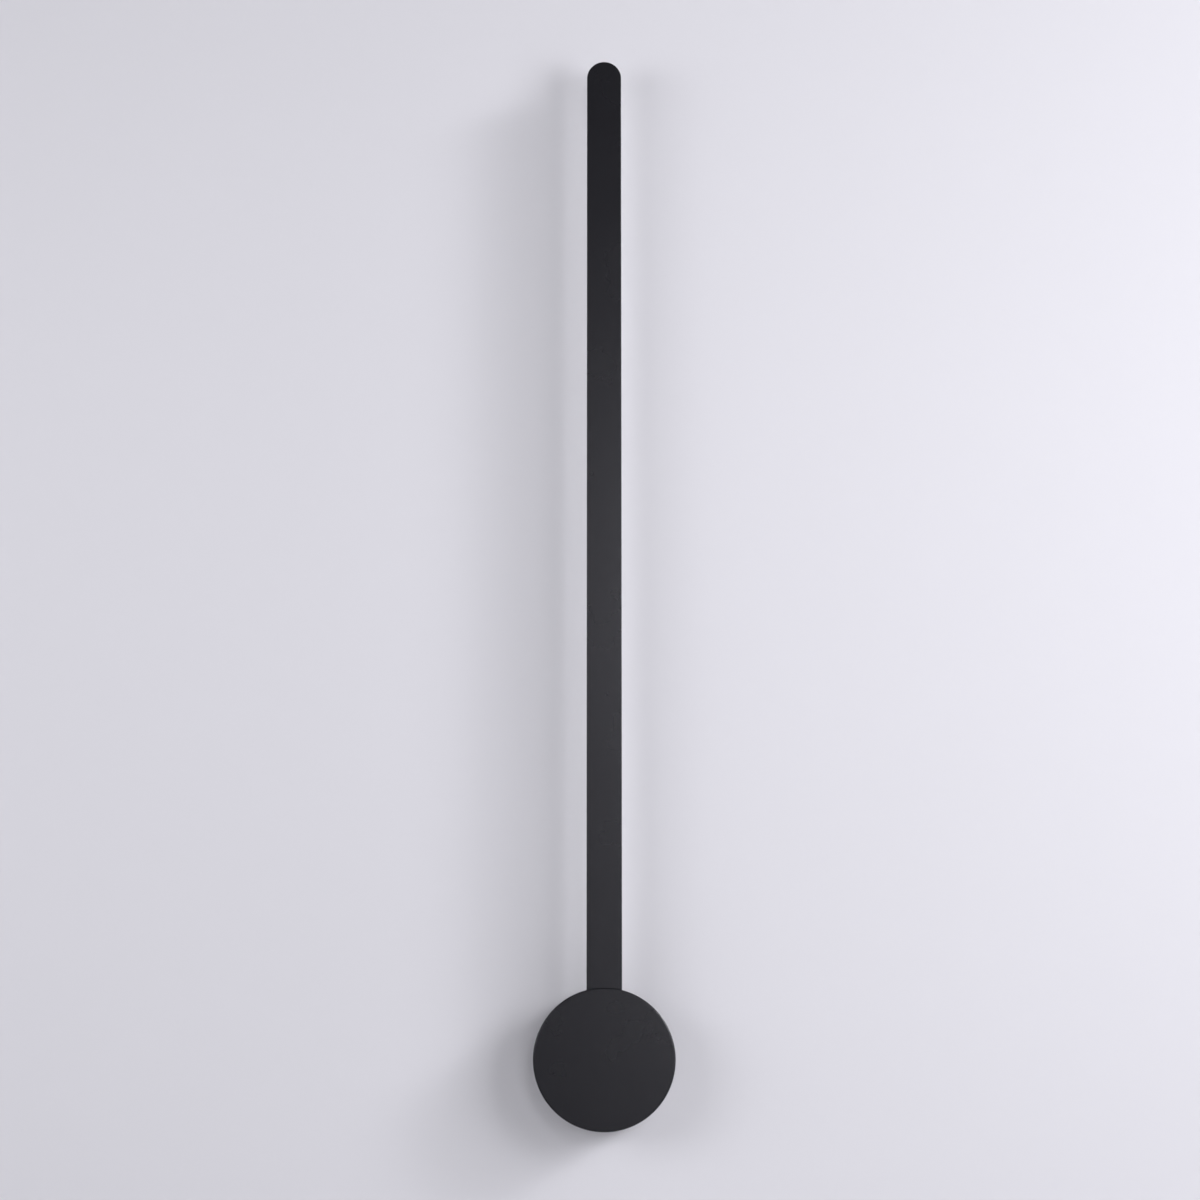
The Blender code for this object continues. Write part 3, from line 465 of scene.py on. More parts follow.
coats = {
    "blackCoat": {
        "dark": (0.0052, 0.0051, 0.0071), "light": (0.0061, 0.0060, 0.0082), "fleck": (0.030, 0.030, 0.036),
        "dustColour": (0.12, 0.12, 0.12), "dust": 0.10,
        "rough": (0.26, 0.28), "bump": 0.8}}
metals = {
    "zincSteel": {
        "dark": (0.52, 0.53, 0.55), "light": (0.66, 0.67, 0.68), "stain": (0.44, 0.43, 0.40),
        "worn": (0.8, 0.8, 0.81), "rough": (0.30, 0.36), "bump": 0.15},
    "milledAluminium": {
        "dark": (0.60, 0.60, 0.61), "light": (0.78, 0.78, 0.79), "stain": (0.52, 0.52, 0.52),
        "worn": (0.88, 0.88, 0.88), "rough": (0.28, 0.40), "bump": 0.25, "scale": 0.6},
    "brass": {
        "dark": (0.60, 0.42, 0.16), "light": (0.76, 0.57, 0.26), "stain": (0.42, 0.28, 0.12),
        "worn": (0.86, 0.70, 0.38), "rough": (0.22, 0.38), "bump": 0.12},
    "nickelPlate": {
        "dark": (0.62, 0.60, 0.57), "light": (0.72, 0.70, 0.66), "stain": (0.5, 0.48, 0.45),
        "worn": (0.82, 0.8, 0.77), "rough": (0.10, 0.20), "bump": 0.05},
    "copper": {
        "dark": (0.66, 0.34, 0.20), "light": (0.80, 0.45, 0.30), "stain": (0.4, 0.22, 0.14),
        "worn": (0.9, 0.56, 0.4), "rough": (0.22, 0.36), "bump": 0.1, "scale": 1.5},
    "tinnedCopper": {
        "dark": (0.60, 0.59, 0.57), "light": (0.74, 0.73, 0.71), "stain": (0.5, 0.46, 0.4),
        "worn": (0.84, 0.83, 0.82), "rough": (0.25, 0.42), "bump": 0.12}}
plastics = {
    "opalAcrylic": {
        "dark": (0.80, 0.80, 0.79), "light": (0.86, 0.86, 0.85), "worn": (0.92, 0.92, 0.92),
        "rough": (0.34, 0.44), "bump": 0.06, "scale": 0.6, "soft": 0.35},
    "whiteNylon": {
        "dark": (0.70, 0.70, 0.66), "light": (0.78, 0.78, 0.74), "worn": (0.88, 0.88, 0.86),
        "rough": (0.42, 0.55), "bump": 0.15, "soft": 0.2},
    "terminalPlastic": {
        "dark": (0.68, 0.68, 0.64), "light": (0.76, 0.76, 0.72), "worn": (0.86, 0.86, 0.84),
        "rough": (0.30, 0.42), "bump": 0.12, "soft": 0.15},
    "driverPlastic": {
        "dark": (0.44, 0.45, 0.46), "light": (0.50, 0.51, 0.52), "worn": (0.60, 0.61, 0.62),
        "rough": (0.50, 0.58), "bump": 0.35, "scale": 0.8},
    "greenMask": {
        "dark": (0.010, 0.07, 0.028), "light": (0.016, 0.10, 0.04), "worn": (0.3, 0.26, 0.12),
        "rough": (0.22, 0.34), "bump": 0.06},
    "whiteMask": {
        "dark": (0.74, 0.74, 0.71), "light": (0.80, 0.80, 0.78), "worn": (0.86, 0.86, 0.85),
        "rough": (0.26, 0.38), "bump": 0.08},
    "phosphor": {
        "dark": (0.72, 0.50, 0.05), "light": (0.80, 0.58, 0.09), "worn": (0.85, 0.68, 0.2),
        "rough": (0.30, 0.40), "bump": 0.1, "scale": 1.5, "soft": 0.2},
    "greyPad": {
        "dark": (0.34, 0.36, 0.39), "light": (0.40, 0.42, 0.45), "worn": (0.5, 0.52, 0.55),
        "rough": (0.75, 0.9), "bump": 0.5, "scale": 0.5},
    "blackMoulding": {
        "dark": (0.014, 0.014, 0.015), "light": (0.022, 0.022, 0.023), "worn": (0.06, 0.06, 0.06),
        "rough": (0.34, 0.5), "bump": 0.2},
    "cableJacket": {
        "dark": (0.016, 0.016, 0.017), "light": (0.026, 0.026, 0.027), "worn": (0.08, 0.08, 0.08),
        "rough": (0.40, 0.55), "bump": 0.12}}

sleeves = {  # dark, light and worn colour of each wire's sleeve
    "brownSleeve": ((0.085, 0.036, 0.016), (0.115, 0.05, 0.022), (0.2, 0.1, 0.06)),
    "blueSleeve": ((0.012, 0.075, 0.36), (0.02, 0.105, 0.46), (0.1, 0.22, 0.6)),
    "greenSleeve": ((0.02, 0.20, 0.035), (0.03, 0.26, 0.05), (0.12, 0.4, 0.15)),
    "yellowSleeve": ((0.66, 0.52, 0.03), (0.76, 0.62, 0.05), (0.85, 0.75, 0.3))}
for name, (dark, light, worn) in sleeves.items():
    plastics[name] = {"dark": dark, "light": light, "worn": worn, "rough": (0.32, 0.44), "bump": 0.08}

for makeLook, family in ((coatLook, coats), (metalLook, metals), (plasticLook, plastics)):
    for name, look in family.items():
        makeLook(name, look)
print("materials:", len(looks))


# the bar, the disc and the base: what is seen

closeBy = 0.005 * mm


def roundTipBar(name, look, low, high, arcSides):  # a flat bar with a square foot and a half-round tip
    radius = (high.x - low.x) / 2
    tip = high.z - radius
    clearSelection()
    bpy.ops.mesh.primitive_circle_add(
        vertices=2 * arcSides, radius=radius, fill_type="NGON", location=(0, low.y, tip),
        rotation=(math.pi / 2, 0, 0))
    piece = named(name, look)
    startEdit(piece, "EDGE")
    bpy.ops.mesh.select_all(action="SELECT")
    bpy.ops.mesh.bisect(plane_co=(0, low.y, tip), plane_no=(0, 0, 1), clear_inner=True, threshold=0.000001)
    pickEdges(piece, lambda edge: all(near(v.co.z, tip, closeBy) for v in edge.verts))
    extrudeBy((0, 0, low.z - tip))
    pickEdges(piece, lambda edge: all(near(v.co.z, tip, closeBy) for v in edge.verts))
    bpy.ops.mesh.dissolve_edges(use_verts=False)
    bpy.ops.mesh.select_mode(type="FACE")
    bpy.ops.mesh.select_all(action="SELECT")
    extrudeBy((0, high.y - low.y, 0))
    bpy.ops.mesh.select_all(action="SELECT")
    bpy.ops.mesh.normals_make_consistent(inside=False)
    return piece


def openFoot(piece, low, start, end, wall):  # the trough runs out at the square foot
    reach = -low.x - wall
    combine(piece, addBox("footCut", (-reach, start, low.z - past), (reach, end + past, low.z + wall + past)))


bar = {
    "wall": 1.8 * mm, "web": 2 * mm, "frontRound": 0.6 * mm, "rearRound": 0.3 * mm, "arcSides": 64,
    "sink": ((3.4 * mm, -0.3 * mm), (1.8 * mm, 1.5 * mm), (1.8 * mm, 3 * mm))}  # radius and depth


def makeBar():
    low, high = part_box("arm_channel")
    piece = roundTipBar("barShell", "blackCoat", low, high, bar["arcSides"])
    pickFaces(piece, lambda centre, normal: normal.y > 0.9)
    bpy.ops.mesh.inset(thickness=bar["wall"], use_even_offset=True)
    extrudeBy((0, bar["web"] - (high.y - low.y), 0))
    startEdit(piece, "EDGE")
    pickEdges(piece, cornerAt(low.y))
    roundEdges(bar["frontRound"], 4)
    pickEdges(piece, cornerAt(high.y))
    roundEdges(bar["rearRound"], 2)
    openFoot(piece, low, low.y + bar["web"], high.y, bar["wall"])
    for node in ("arm_screw_lower", "arm_screw_upper"):
        place = middle(node)
        sink = turnedPiece("sink", None, [(radius, low.y + depth) for radius, depth in bar["sink"]], 40)
        sink.location = (place.x, 0, place.z)
        combine(piece, sink)
    mergeSlivers(piece)
    return finish(piece, "arm", ["arm_channel"])


disc = {
    "sides": 192, "wall": 1.8 * mm, "plate": 1.5 * mm, "frontRound": 1.3 * mm, "rimRound": 0.3 * mm,
    "notchGap": 0.3 * mm, "notchDepth": 12 * mm, "bossRadius": 5.5 * mm, "bossSunk": 0.5 * mm,
    "seatGap": 0.3 * mm}


def makeDisc():
    low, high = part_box("front_cover")
    barLow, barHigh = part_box("arm_channel")
    radius = (high.x - low.x) / 2
    piece = addRod("discCover", radius, (0, low.y, 0), (0, high.y, 0), disc["sides"], "blackCoat")
    startEdit(piece)
    pickFaces(piece, lambda centre, normal: normal.y > 0.9)
    bpy.ops.mesh.inset(thickness=disc["wall"], use_even_offset=True)
    extrudeBy((0, disc["plate"] - (high.y - low.y), 0))
    bpy.ops.mesh.select_mode(type="EDGE")
    pickEdges(piece, cornerAt(low.y))
    roundEdges(disc["frontRound"], 6)
    pickEdges(piece, cornerAt(high.y))
    roundEdges(disc["rimRound"], 2)
    notch = addBox(
        "notch",
        (barLow.x - disc["notchGap"], barLow.y - disc["notchGap"], radius - disc["notchDepth"]),
        (barHigh.x + disc["notchGap"], high.y + past, radius + past))
    combine(piece, notch)
    for i in range(1, 5):
        magnetLow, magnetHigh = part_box(f"cover_magnet_{i}")
        x, _, z = middle(f"cover_magnet_{i}")
        front = low.y + disc["plate"] - disc["bossSunk"]
        boss = addRod("boss", disc["bossRadius"], (x, magnetHigh.y, z), (x, front, z), 40)
        combine(piece, boss, "UNION")
        seatRadius = (magnetHigh.x - magnetLow.x) / 2 + disc["seatGap"]
        drillAt(piece, seatRadius, x, z, magnetHigh.y + past, magnetLow.y - disc["seatGap"])
    return finish(piece, "arm", ["front_cover"])


cup = {
    "sides": 192, "wall": 1.6 * mm, "plate": 2 * mm, "frontRound": 0.8 * mm, "rimRound": 0.3 * mm,
    "innerRound": 1.2 * mm, "bossRadius": 3.5 * mm, "bossStart": 22 * mm, "boreRadius": 1.8 * mm,
    "tubeGap": 0.3 * mm, "pinHole": 2.3 * mm, "screwHole": 2.3 * mm, "band": (-6.5 * mm, -13.5 * mm)}


def makeCup():
    low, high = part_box("base_housing")
    radius = (high.x - low.x) / 2
    inner = low.y + cup["plate"]
    piece = addRod("baseCup", radius, (0, low.y, 0), (0, high.y, 0), cup["sides"], "blackCoat")
    startEdit(piece)
    pickFaces(piece, lambda centre, normal: normal.y > 0.9)
    bpy.ops.mesh.inset(thickness=cup["wall"], use_even_offset=True)
    extrudeBy((0, cup["plate"] - (high.y - low.y), 0))
    bpy.ops.mesh.select_mode(type="EDGE")
    pickEdges(piece, cornerAt(low.y))
    roundEdges(cup["frontRound"], 6)
    pickEdges(piece, cornerAt(inner))
    roundEdges(cup["innerRound"], 4)
    pickEdges(piece, cornerAt(high.y))
    roundEdges(cup["rimRound"], 2)
    for node in ("driver_screw_left", "driver_screw_right", "terminal_screw_left", "terminal_screw_right"):
        x, _, z = middle(node)
        boss = addRod("boss", cup["bossRadius"], (x, -cup["bossStart"], z), (x, inner - past, z), 40)
        combine(piece, boss, "UNION")
        drillAt(piece, cup["boreRadius"], x, z, -cup["bossStart"] + past, inner, 32)
    tubeLow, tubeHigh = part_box("pivot_tube")
    drillAt(piece, (tubeHigh.x - tubeLow.x) / 2 + cup["tubeGap"], 0, 0, inner + past, low.y - past, 48)
    drillAt(piece, cup["pinHole"], 0, middle("stop_pin").z, inner + past, low.y - past)
    startEdit(piece)
    for y in cup["band"]:  # keeps the side holes' shading inside a narrow band
        bpy.ops.mesh.select_all(action="SELECT")
        bpy.ops.mesh.bisect(plane_co=(0, y, 0), plane_no=(0, 1, 0), threshold=0.000001)
    clearSelection()
    for node in ("side_screw_left", "side_screw_right"):
        x, y, z = middle(node)
        start, end = (math.copysign(reach, x) for reach in (radius - 5 * mm, radius + 2 * mm))
        drill(piece, cup["screwHole"], (start, y, z), (end, y, z))
    return finish(piece, "base", ["base_housing"])


diffuser = {"leg": 1.2 * mm, "skin": 2 * mm, "rearRound": 0.5 * mm, "arcSides": 48}


def makeDiffuser():
    low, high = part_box("diffuser")
    piece = roundTipBar("opalDiffuser", "opalAcrylic", low, high, diffuser["arcSides"])
    pickFaces(piece, lambda centre, normal: normal.y < -0.9)
    bpy.ops.mesh.inset(thickness=diffuser["leg"], use_even_offset=True)
    extrudeBy((0, (high.y - low.y) - diffuser["skin"], 0))
    openFoot(piece, low, low.y - 2 * mm, high.y - diffuser["skin"] - 1 * mm, diffuser["leg"])
    startEdit(piece, "EDGE")
    pickEdges(piece, cornerAt(high.y))
    roundEdges(diffuser["rearRound"], 3)
    return finish(piece, "arm", ["diffuser"])


makeBar()
makeDisc()
makeCup()
makeDiffuser()
print("bar, disc, base and diffuser made")


# fasteners and turned pieces: each screw shape is made once and copied, the rest are built one by one

def at(x, depth, z):  # a place in millimetres, its depth counted from the wall
    return Vector((x, -depth, z)) * mm


def threadProfile(major, pitch, start, end):  # ridges from one place to the next, going towards -Y
    root = major - 0.55 * pitch
    profile = [(root, start)]
    y = start
    while y - pitch > end:
        for radius, step in ((root, 0.15), (major, 0.5), (major, 0.62), (root, 1.0)):
            profile.append((radius, y - step * pitch))
        y -= pitch
    return profile + [(root, end)]


screws = {
    "panHead": {
        "look": "zincSteel", "shank": 1.5 * mm, "length": 7 * mm, "headRadius": 2.9 * mm,
        "headHeight": 1.8 * mm, "pitch": 0.5 * mm,
        "crown": ((0.3, 0.0), (0.6, 0.04), (0.82, 0.2), (0.95, 0.45), (1.0, 0.72), (0.97, 1.0))},
    "earthHead": {
        "look": "brass", "shank": 2.0 * mm, "length": 5.6 * mm, "headRadius": 3.5 * mm,
        "headHeight": 2.0 * mm, "pitch": 0.7 * mm,
        "crown": ((0.3, 0.0), (0.62, 0.05), (0.84, 0.22), (0.96, 0.5), (1.0, 0.78), (0.97, 1.0))},
    "clampHead": {
        "look": "brass", "shank": 1.4 * mm, "length": 3.2 * mm, "headRadius": 1.8 * mm,
        "headHeight": 1.4 * mm, "pitch": 0.5 * mm,
        "crown": ((0.5, 0.0), (0.88, 0.0), (1.0, 0.12), (1.0, 0.9), (0.94, 1.0))},
    "sunkHead": {
        "look": "zincSteel", "shank": 1.5 * mm, "length": 8 * mm, "headRadius": 2.8 * mm,
        "headHeight": 1.6 * mm, "pitch": 0.5 * mm,
        "crown": ((0.5, 0.0), (0.97, 0.0), (1.0, 0.04), (1.0, 0.14), (0.53, 1.0))}}
screws["armHead"] = {**screws["sunkHead"], "length": 7 * mm}
recess = {"reach": 0.55, "width": 0.13, "depth": 0.55, "taper": 0.62, "above": 0.3 * mm}  # shares of the head


def makeScrew(kind):  # its head's face at y = 0, its tip towards -Y
    screw = screws[kind]
    tip = 0.35 * screw["shank"]
    profile = [(screw["headRadius"] * r, -screw["headHeight"] * y) for r, y in screw["crown"]]
    profile += threadProfile(screw["shank"], screw["pitch"], -screw["headHeight"], tip - screw["length"])
    profile.append((0.6 * screw["shank"], -screw["length"]))
    piece = turnedPiece(kind, screw["look"], profile, 40)
    reach, width = recess["reach"] * screw["headRadius"], recess["width"] * screw["headRadius"]
    depth = recess["depth"] * screw["headHeight"]
    for halfX, halfZ in ((reach, width), (width, reach)):
        cutter = addBox("crossSlot", (-halfX, -depth, -halfZ), (halfX, recess["above"], halfZ))
        startEdit(cutter)
        pickFaces(cutter, lambda centre, normal: normal.y < -0.9)
        bpy.ops.transform.resize(value=(recess["taper"], 1, recess["taper"]), center_override=(0, -depth, 0))
        clearSelection()
        combine(piece, cutter)
    return piece


def placeScrew(source, node, body, towardsRoom=True, twist=0.0):
    low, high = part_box(node)
    place = (low.x + high.x) / 2, high.y if towardsRoom else low.y, (low.z + high.z) / 2
    piece = copyOf(source, node + "_detailed", place, (0, twist, 0 if towardsRoom else math.pi))
    return finish(piece, body, [node], 40)


def placeAll(kind, body, nodes, towardsRoom=True):
    source = makeScrew(kind)
    for i, node in enumerate(nodes):
        placeScrew(source, node, body, towardsRoom, 0.5 + 1.3 * i)
    bpy.data.objects.remove(source, do_unlink=True)


def makeScrews():
    mounts = ["terminal_screw_left", "terminal_screw_right", "driver_screw_left", "driver_screw_right"]
    placeAll("panHead", "base", mounts)
    placeAll("clampHead", "base", [f"terminal_clamp_screw_{i}" for i in (1, 2, 3)])
    placeAll("earthHead", "base", ["earth_screw"])
    placeAll("sunkHead", "arm", [f"hub_screw_{i}" for i in (1, 2, 3, 4)])
    placeAll("armHead", "arm", ["arm_screw_lower", "arm_screw_upper"], False)


grub = {
    "radius": 2 * mm, "chamfer": 0.35 * mm, "pitch": 0.7 * mm, "socket": 1.1 * mm, "socketDepth": 2.3 * mm}


def makeGrubScrews():
    for node in ("side_screw_left", "side_screw_right"):
        low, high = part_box(node)
        length = high.x - low.x
        profile = [(grub["radius"] - grub["chamfer"], 0)]
        profile += threadProfile(grub["radius"], grub["pitch"], -grub["chamfer"], -length + grub["chamfer"])
        profile.append((grub["radius"] - 2 * grub["chamfer"], -length))
        piece = turnedPiece(node + "_detailed", "zincSteel", profile, 40)
        drillAt(piece, grub["socket"], 0, 0, past, -grub["socketDepth"], 6)
        outward = math.copysign(1, low.x)
        piece.location = (low.x if outward < 0 else high.x, (low.y + high.y) / 2, (low.z + high.z) / 2)
        piece.rotation_euler = (0, 0, -outward * math.pi / 2)  # its socket faces out of the side
        finish(settle(piece), "base", [node], 40)


swivel = {
    "pitch": 1 * mm, "bore": 3.6 * mm, "chamfer": 0.4 * mm, "edge": 0.15 * mm, "nutBore": 5.3 * mm,
    "nutChamfer": 0.55, "nutTrim": 0.2 * mm, "threadFlare": (0.4 * mm, 0.5 * mm), "over": 0.1 * mm,
    "magnetRound": 0.3 * mm}


def makeTube():
    low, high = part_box("pivot_tube")
    radius = (high.x - low.x) / 2
    profile = [(radius - swivel["chamfer"], high.y)]
    threadEnds = high.y - swivel["chamfer"], low.y + swivel["chamfer"]
    profile += threadProfile(radius, swivel["pitch"], *threadEnds)
    profile.append((radius - swivel["chamfer"], low.y))
    piece = turnedPiece("pivotTube", "brass", profile, 64)
    drillAt(piece, swivel["bore"], 0, 0, high.y + past, low.y - past, 48)
    softenCorners(piece, swivel["edge"], 2, 70)
    finish(piece, "base", ["pivot_tube"], 40)


def makeNut(node):
    low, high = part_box(node)
    corner = max(high.x - low.x, high.z - low.z) / 2
    flat = corner * math.cos(math.pi / 6)
    piece = addRod(node + "_detailed", corner, (0, high.y, 0), (0, low.y, 0), 6, "zincSteel")
    if (piece.dimensions.x > piece.dimensions.z) != (high.x - low.x > high.z - low.z):
        piece.rotation_euler.y = math.pi / 6
        settle(piece)
    drop, over, bore = swivel["nutChamfer"] * (corner - flat), swivel["over"], swivel["nutBore"]
    inside, outside = flat - swivel["nutTrim"], corner + swivel["nutTrim"]
    wider, deep = swivel["threadFlare"]
    tops, feet = (high.y + over, high.y - drop), (low.y + drop, low.y - over)
    trim = [*zip((inside, outside), tops), *zip((outside, inside), feet)]
    combine(piece, turnedPiece("trim", None, trim, 96), "INTERSECT")
    tops, feet = (high.y + over, high.y - deep), (low.y + deep, low.y - over)
    thread = [*zip((bore + wider, bore), tops), *zip((bore, bore + wider), feet)]
    combine(piece, turnedPiece("thread", None, thread, 64))
    finish(piece, "base", [node], 30)


def makeWashers():
    steel = "zincSteel", "zinc_steel"
    for node, look, slotName in (
            ("pivot_rear_washer", *steel), ("pivot_front_washer", *steel),
            ("friction_washer", "whiteNylon", "nylon")):
        low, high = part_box(node)
        piece = addRod(node + "_detailed", (high.x - low.x) / 2, (0, high.y, 0), (0, low.y, 0), 96, look)
        drillAt(piece, swivel["nutBore"], 0, 0, high.y + past, low.y - past, 64)
        softenCorners(piece, 0.2 * (high.y - low.y), 2, 60)
        finish(piece, "base", [node], 30)


def makeMagnets():
    for i in range(1, 5):
        node = f"cover_magnet_{i}"
        low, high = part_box(node)
        x, _, z = middle(node)
        radius = (high.x - low.x) / 2
        piece = addRod(node + "_detailed", radius, (x, high.y, z), (x, low.y, z), 64, "nickelPlate")
        softenCorners(piece, swivel["magnetRound"], 3, 60)
        finish(piece, "arm", [node], 30)


makeScrews()
makeGrubScrews()
makeTube()
makeNut("pivot_rear_nut")
makeNut("pivot_front_nut")
makeWashers()
makeMagnets()
print("fasteners and swivel made")


# the sheet-metal and moulded pieces inside the base

crossbar = {
    "thick": 1.5 * mm, "bend": 2 * mm, "bendSteps": 8, "slotAt": 38 * mm, "slot": (22 * mm, 5.2 * mm),
    "holeAt": 19 * mm, "tabHoleAt": 10 * mm, "hole": 2.3 * mm, "burr": 0.2 * mm, "tabCorner": 3 * mm}


def makeCrossbar():
    low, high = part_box("wall_bracket")
    turn = high.x - crossbar["bend"]
    piece = addBox("crossbar", (-turn, -crossbar["thick"], low.z), (turn, 0, high.z), "zincSteel")
    for side in (-1, 1):  # each end is bent over towards the room, then drawn out as a tab
        startEdit(piece)
        pickFaces(piece, lambda centre, normal: normal.x * side > 0.9 and near(side * centre.x, turn))
        for _ in range(crossbar["bendSteps"]):
            extrudeBy((0, 0, 0))
            bpy.ops.transform.rotate(
                value=side * math.pi / 2 / crossbar["bendSteps"], orient_axis="Z",
                center_override=(side * turn, -crossbar["bend"], 0))
        extrudeBy((0, low.y + crossbar["bend"], 0))
        clearSelection()
    startEdit(piece, "EDGE")
    pickEdges(piece, lambda edge: all(near(v.co.y, low.y) for v in edge.verts)
              and near(edge.verts[0].co.z, edge.verts[1].co.z))
    roundEdges(crossbar["tabCorner"], 6)
    bpy.ops.mesh.select_all(action="SELECT")
    bpy.ops.mesh.remove_doubles(threshold=0.000002)
    bpy.ops.mesh.normals_make_consistent(inside=False)
    clearSelection()
    slotLength, slotWidth = crossbar["slot"]
    through = -2 * crossbar["thick"]
    for side in (-1, 1):
        x = side * crossbar["slotAt"]
        slot = addBox(
            "slot", (x - slotLength / 2, through, -slotWidth / 2), (x + slotLength / 2, past, slotWidth / 2))
        startEdit(slot, "EDGE")
        pickEdges(slot, lambda edge: abs(edge.verts[0].co.y - edge.verts[1].co.y) > 1 * mm)
        roundEdges(0.499 * slotWidth, 10)
        clearSelection()
        combine(piece, slot)
        drillAt(piece, crossbar["hole"], side * crossbar["holeAt"], 0, past, through)
        ends = [(side * x, -crossbar["tabHoleAt"], 0) for x in (high.x - 4 * mm, high.x + past)]
        drill(piece, crossbar["hole"], *ends)
    softenCorners(piece, crossbar["burr"], 2, 50)
    return finish(piece, "base", ["wall_bracket"])


terminal = {
    "half": 13 * mm, "pitch": 8 * mm, "groove": 0.6 * mm, "grooveDepth": 5 * mm, "corner": 0.5 * mm,
    "earHalf": 20.5 * mm, "earTall": 4 * mm, "earThick": 2.5 * mm, "earStep": 0.05 * mm, "earRound": 2.5 * mm,
    "earCorner": 0.3 * mm, "earAt": 17 * mm, "earHole": 1.8 * mm, "entry": 1.6 * mm, "leadDepth": 14.5 * mm,
    "well": 2.1 * mm, "wellEnd": 14 * mm, "wellFlare": 0.5 * mm}


def makeTerminal():
    low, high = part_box("terminal_block")
    centreZ = (low.z + high.z) / 2
    piece = addBox(
        "terminalBody", (-terminal["half"], low.y, low.z), (terminal["half"], high.y, high.z),
        "terminalPlastic")
    for side in (-1, 1):  # the poles stand apart
        x = side * terminal["pitch"] / 2
        groove = addBox(
            "groove", (x - terminal["groove"], high.y - terminal["grooveDepth"], low.z - past),
            (x + terminal["groove"], high.y + past, high.z + past))
        combine(piece, groove)
    softenCorners(piece, terminal["corner"], 3, 60)
    ears = roundedBlock(
        "ears", (-terminal["earHalf"], low.y + terminal["earStep"], centreZ - terminal["earTall"]),
        (terminal["earHalf"], low.y + terminal["earThick"], centreZ + terminal["earTall"]),
        terminal["earRound"])
    softenCorners(ears, terminal["earCorner"], 2, 60)
    combine(piece, ears, "UNION")
    for pole in (-1, 0, 1):
        x = pole * terminal["pitch"]
        ends = [(x, -terminal["leadDepth"], z) for z in (low.z - past, high.z + past)]
        drill(piece, terminal["entry"], *ends, 32)
        radius, flare = terminal["well"], terminal["wellFlare"]
        profile = [(radius + flare, high.y + 0.4 * flare), (radius, high.y - 0.6 * flare)]
        well = turnedPiece("well", None, [*profile, (radius, -terminal["wellEnd"])], 32)
        well.location = (x, 0, centreZ)
        combine(piece, well)
    ear = centreZ, low.y - past, low.y + 4 * past
    for side in (-1, 1):
        drillAt(piece, terminal["earHole"], side * terminal["earAt"], *ear, 32)
    return finish(piece, "base", ["terminal_block"])


driver = {
    "wall": 1.5 * mm, "half": 31 * mm, "corner": 2 * mm, "edge": 0.4 * mm, "insideRound": 1 * mm,
    "earHalf": 39.8 * mm, "earTall": 4 * mm, "earRear": 19.7 * mm, "earFront": 21.7 * mm,
    "earRound": 3.4 * mm, "earAt": 36 * mm, "earHole": 1.8 * mm, "leadDepth": 14 * mm,
    "leadHeights": (-27 * mm, -22.5 * mm), "leadHole": 1.2 * mm, "outputHeight": -24 * mm,
    "outputHole": 1.5 * mm}


def makeDriverCase():
    low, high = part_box("driver_case")
    half, wall = driver["half"], driver["wall"]
    centreZ = (low.z + high.z) / 2
    piece = roundedBlock(
        "driverCase", (-half, low.y, low.z), (half, high.y, high.z), driver["corner"], "driverPlastic")
    ears = roundedBlock(
        "ears", (-driver["earHalf"], -driver["earFront"], centreZ - driver["earTall"]),
        (driver["earHalf"], -driver["earRear"], centreZ + driver["earTall"]), driver["earRound"])
    combine(piece, ears, "UNION")
    softenCorners(piece, driver["edge"], 3, 60)
    inside = roundedBlock(
        "inside", (-half + wall, low.y + wall, low.z + wall), (half - wall, high.y + past, high.z - wall),
        driver["insideRound"])
    combine(piece, inside)
    ear = centreZ, -driver["earFront"] - past, -driver["earRear"] + past
    for side in (-1, 1):
        drillAt(piece, driver["earHole"], side * driver["earAt"], *ear, 32)
    holes = [(-1, z, driver["leadHole"]) for z in driver["leadHeights"]]
    holes.append((1, driver["outputHeight"], driver["outputHole"]))
    for side, z, radius in holes:
        ends = [(side * x, -driver["leadDepth"], z) for x in (half - 2 * wall, half + 2 * wall)]
        drill(piece, radius, *ends, 32)
    return finish(piece, "base", ["driver_case"])


lid = {
    "frame": 3 * mm, "panelDepth": 0.4 * mm, "panelRound": 1.5 * mm, "edge": 0.15 * mm,
    "rivetAt": (25 * mm, 8 * mm), "rivet": ((1.5, 1.2), (1.5, 0.25), (1.25, 0.08), (0.7, 0.0)),
    "ribs": 7, "ribHalf": (18 * mm, 0.4 * mm), "ribPitch": 2.4 * mm, "ribRoot": 0.6 * mm, "ribTop": 0.05 * mm}


def makeDriverLid():
    low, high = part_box("driver_lid")
    centreZ, frameWidth = (low.z + high.z) / 2, lid["frame"]
    piece = roundedBlock("driverLid", low, high, driver["corner"], "driverPlastic")
    panelLow = (low.x + frameWidth, high.y - lid["panelDepth"], low.z + frameWidth)
    panelHigh = (high.x - frameWidth, high.y + past, high.z - frameWidth)
    combine(piece, roundedBlock("panel", panelLow, panelHigh, lid["panelRound"]))
    x, z = lid["rivetAt"]
    for side, level in ((-1, -1), (-1, 1), (1, -1), (1, 1)):
        profile = [(radius * mm, high.y - depth * mm) for radius, depth in lid["rivet"]]
        rivet = turnedPiece("rivet", None, profile, 24)
        rivet.location = (side * x, 0, centreZ + level * z)
        combine(piece, rivet, "UNION")
    halfLong, halfTall = lid["ribHalf"]
    for i in range(lid["ribs"]):
        z = centreZ + (i - (lid["ribs"] - 1) / 2) * lid["ribPitch"]
        rib = addBox(
            "rib", (-halfLong, high.y - lid["ribRoot"], z - halfTall),
            (halfLong, high.y - lid["ribTop"], z + halfTall))
        combine(piece, rib, "UNION")
    softenCorners(piece, lid["edge"], 2, 60)
    return finish(piece, "base", ["driver_lid"])


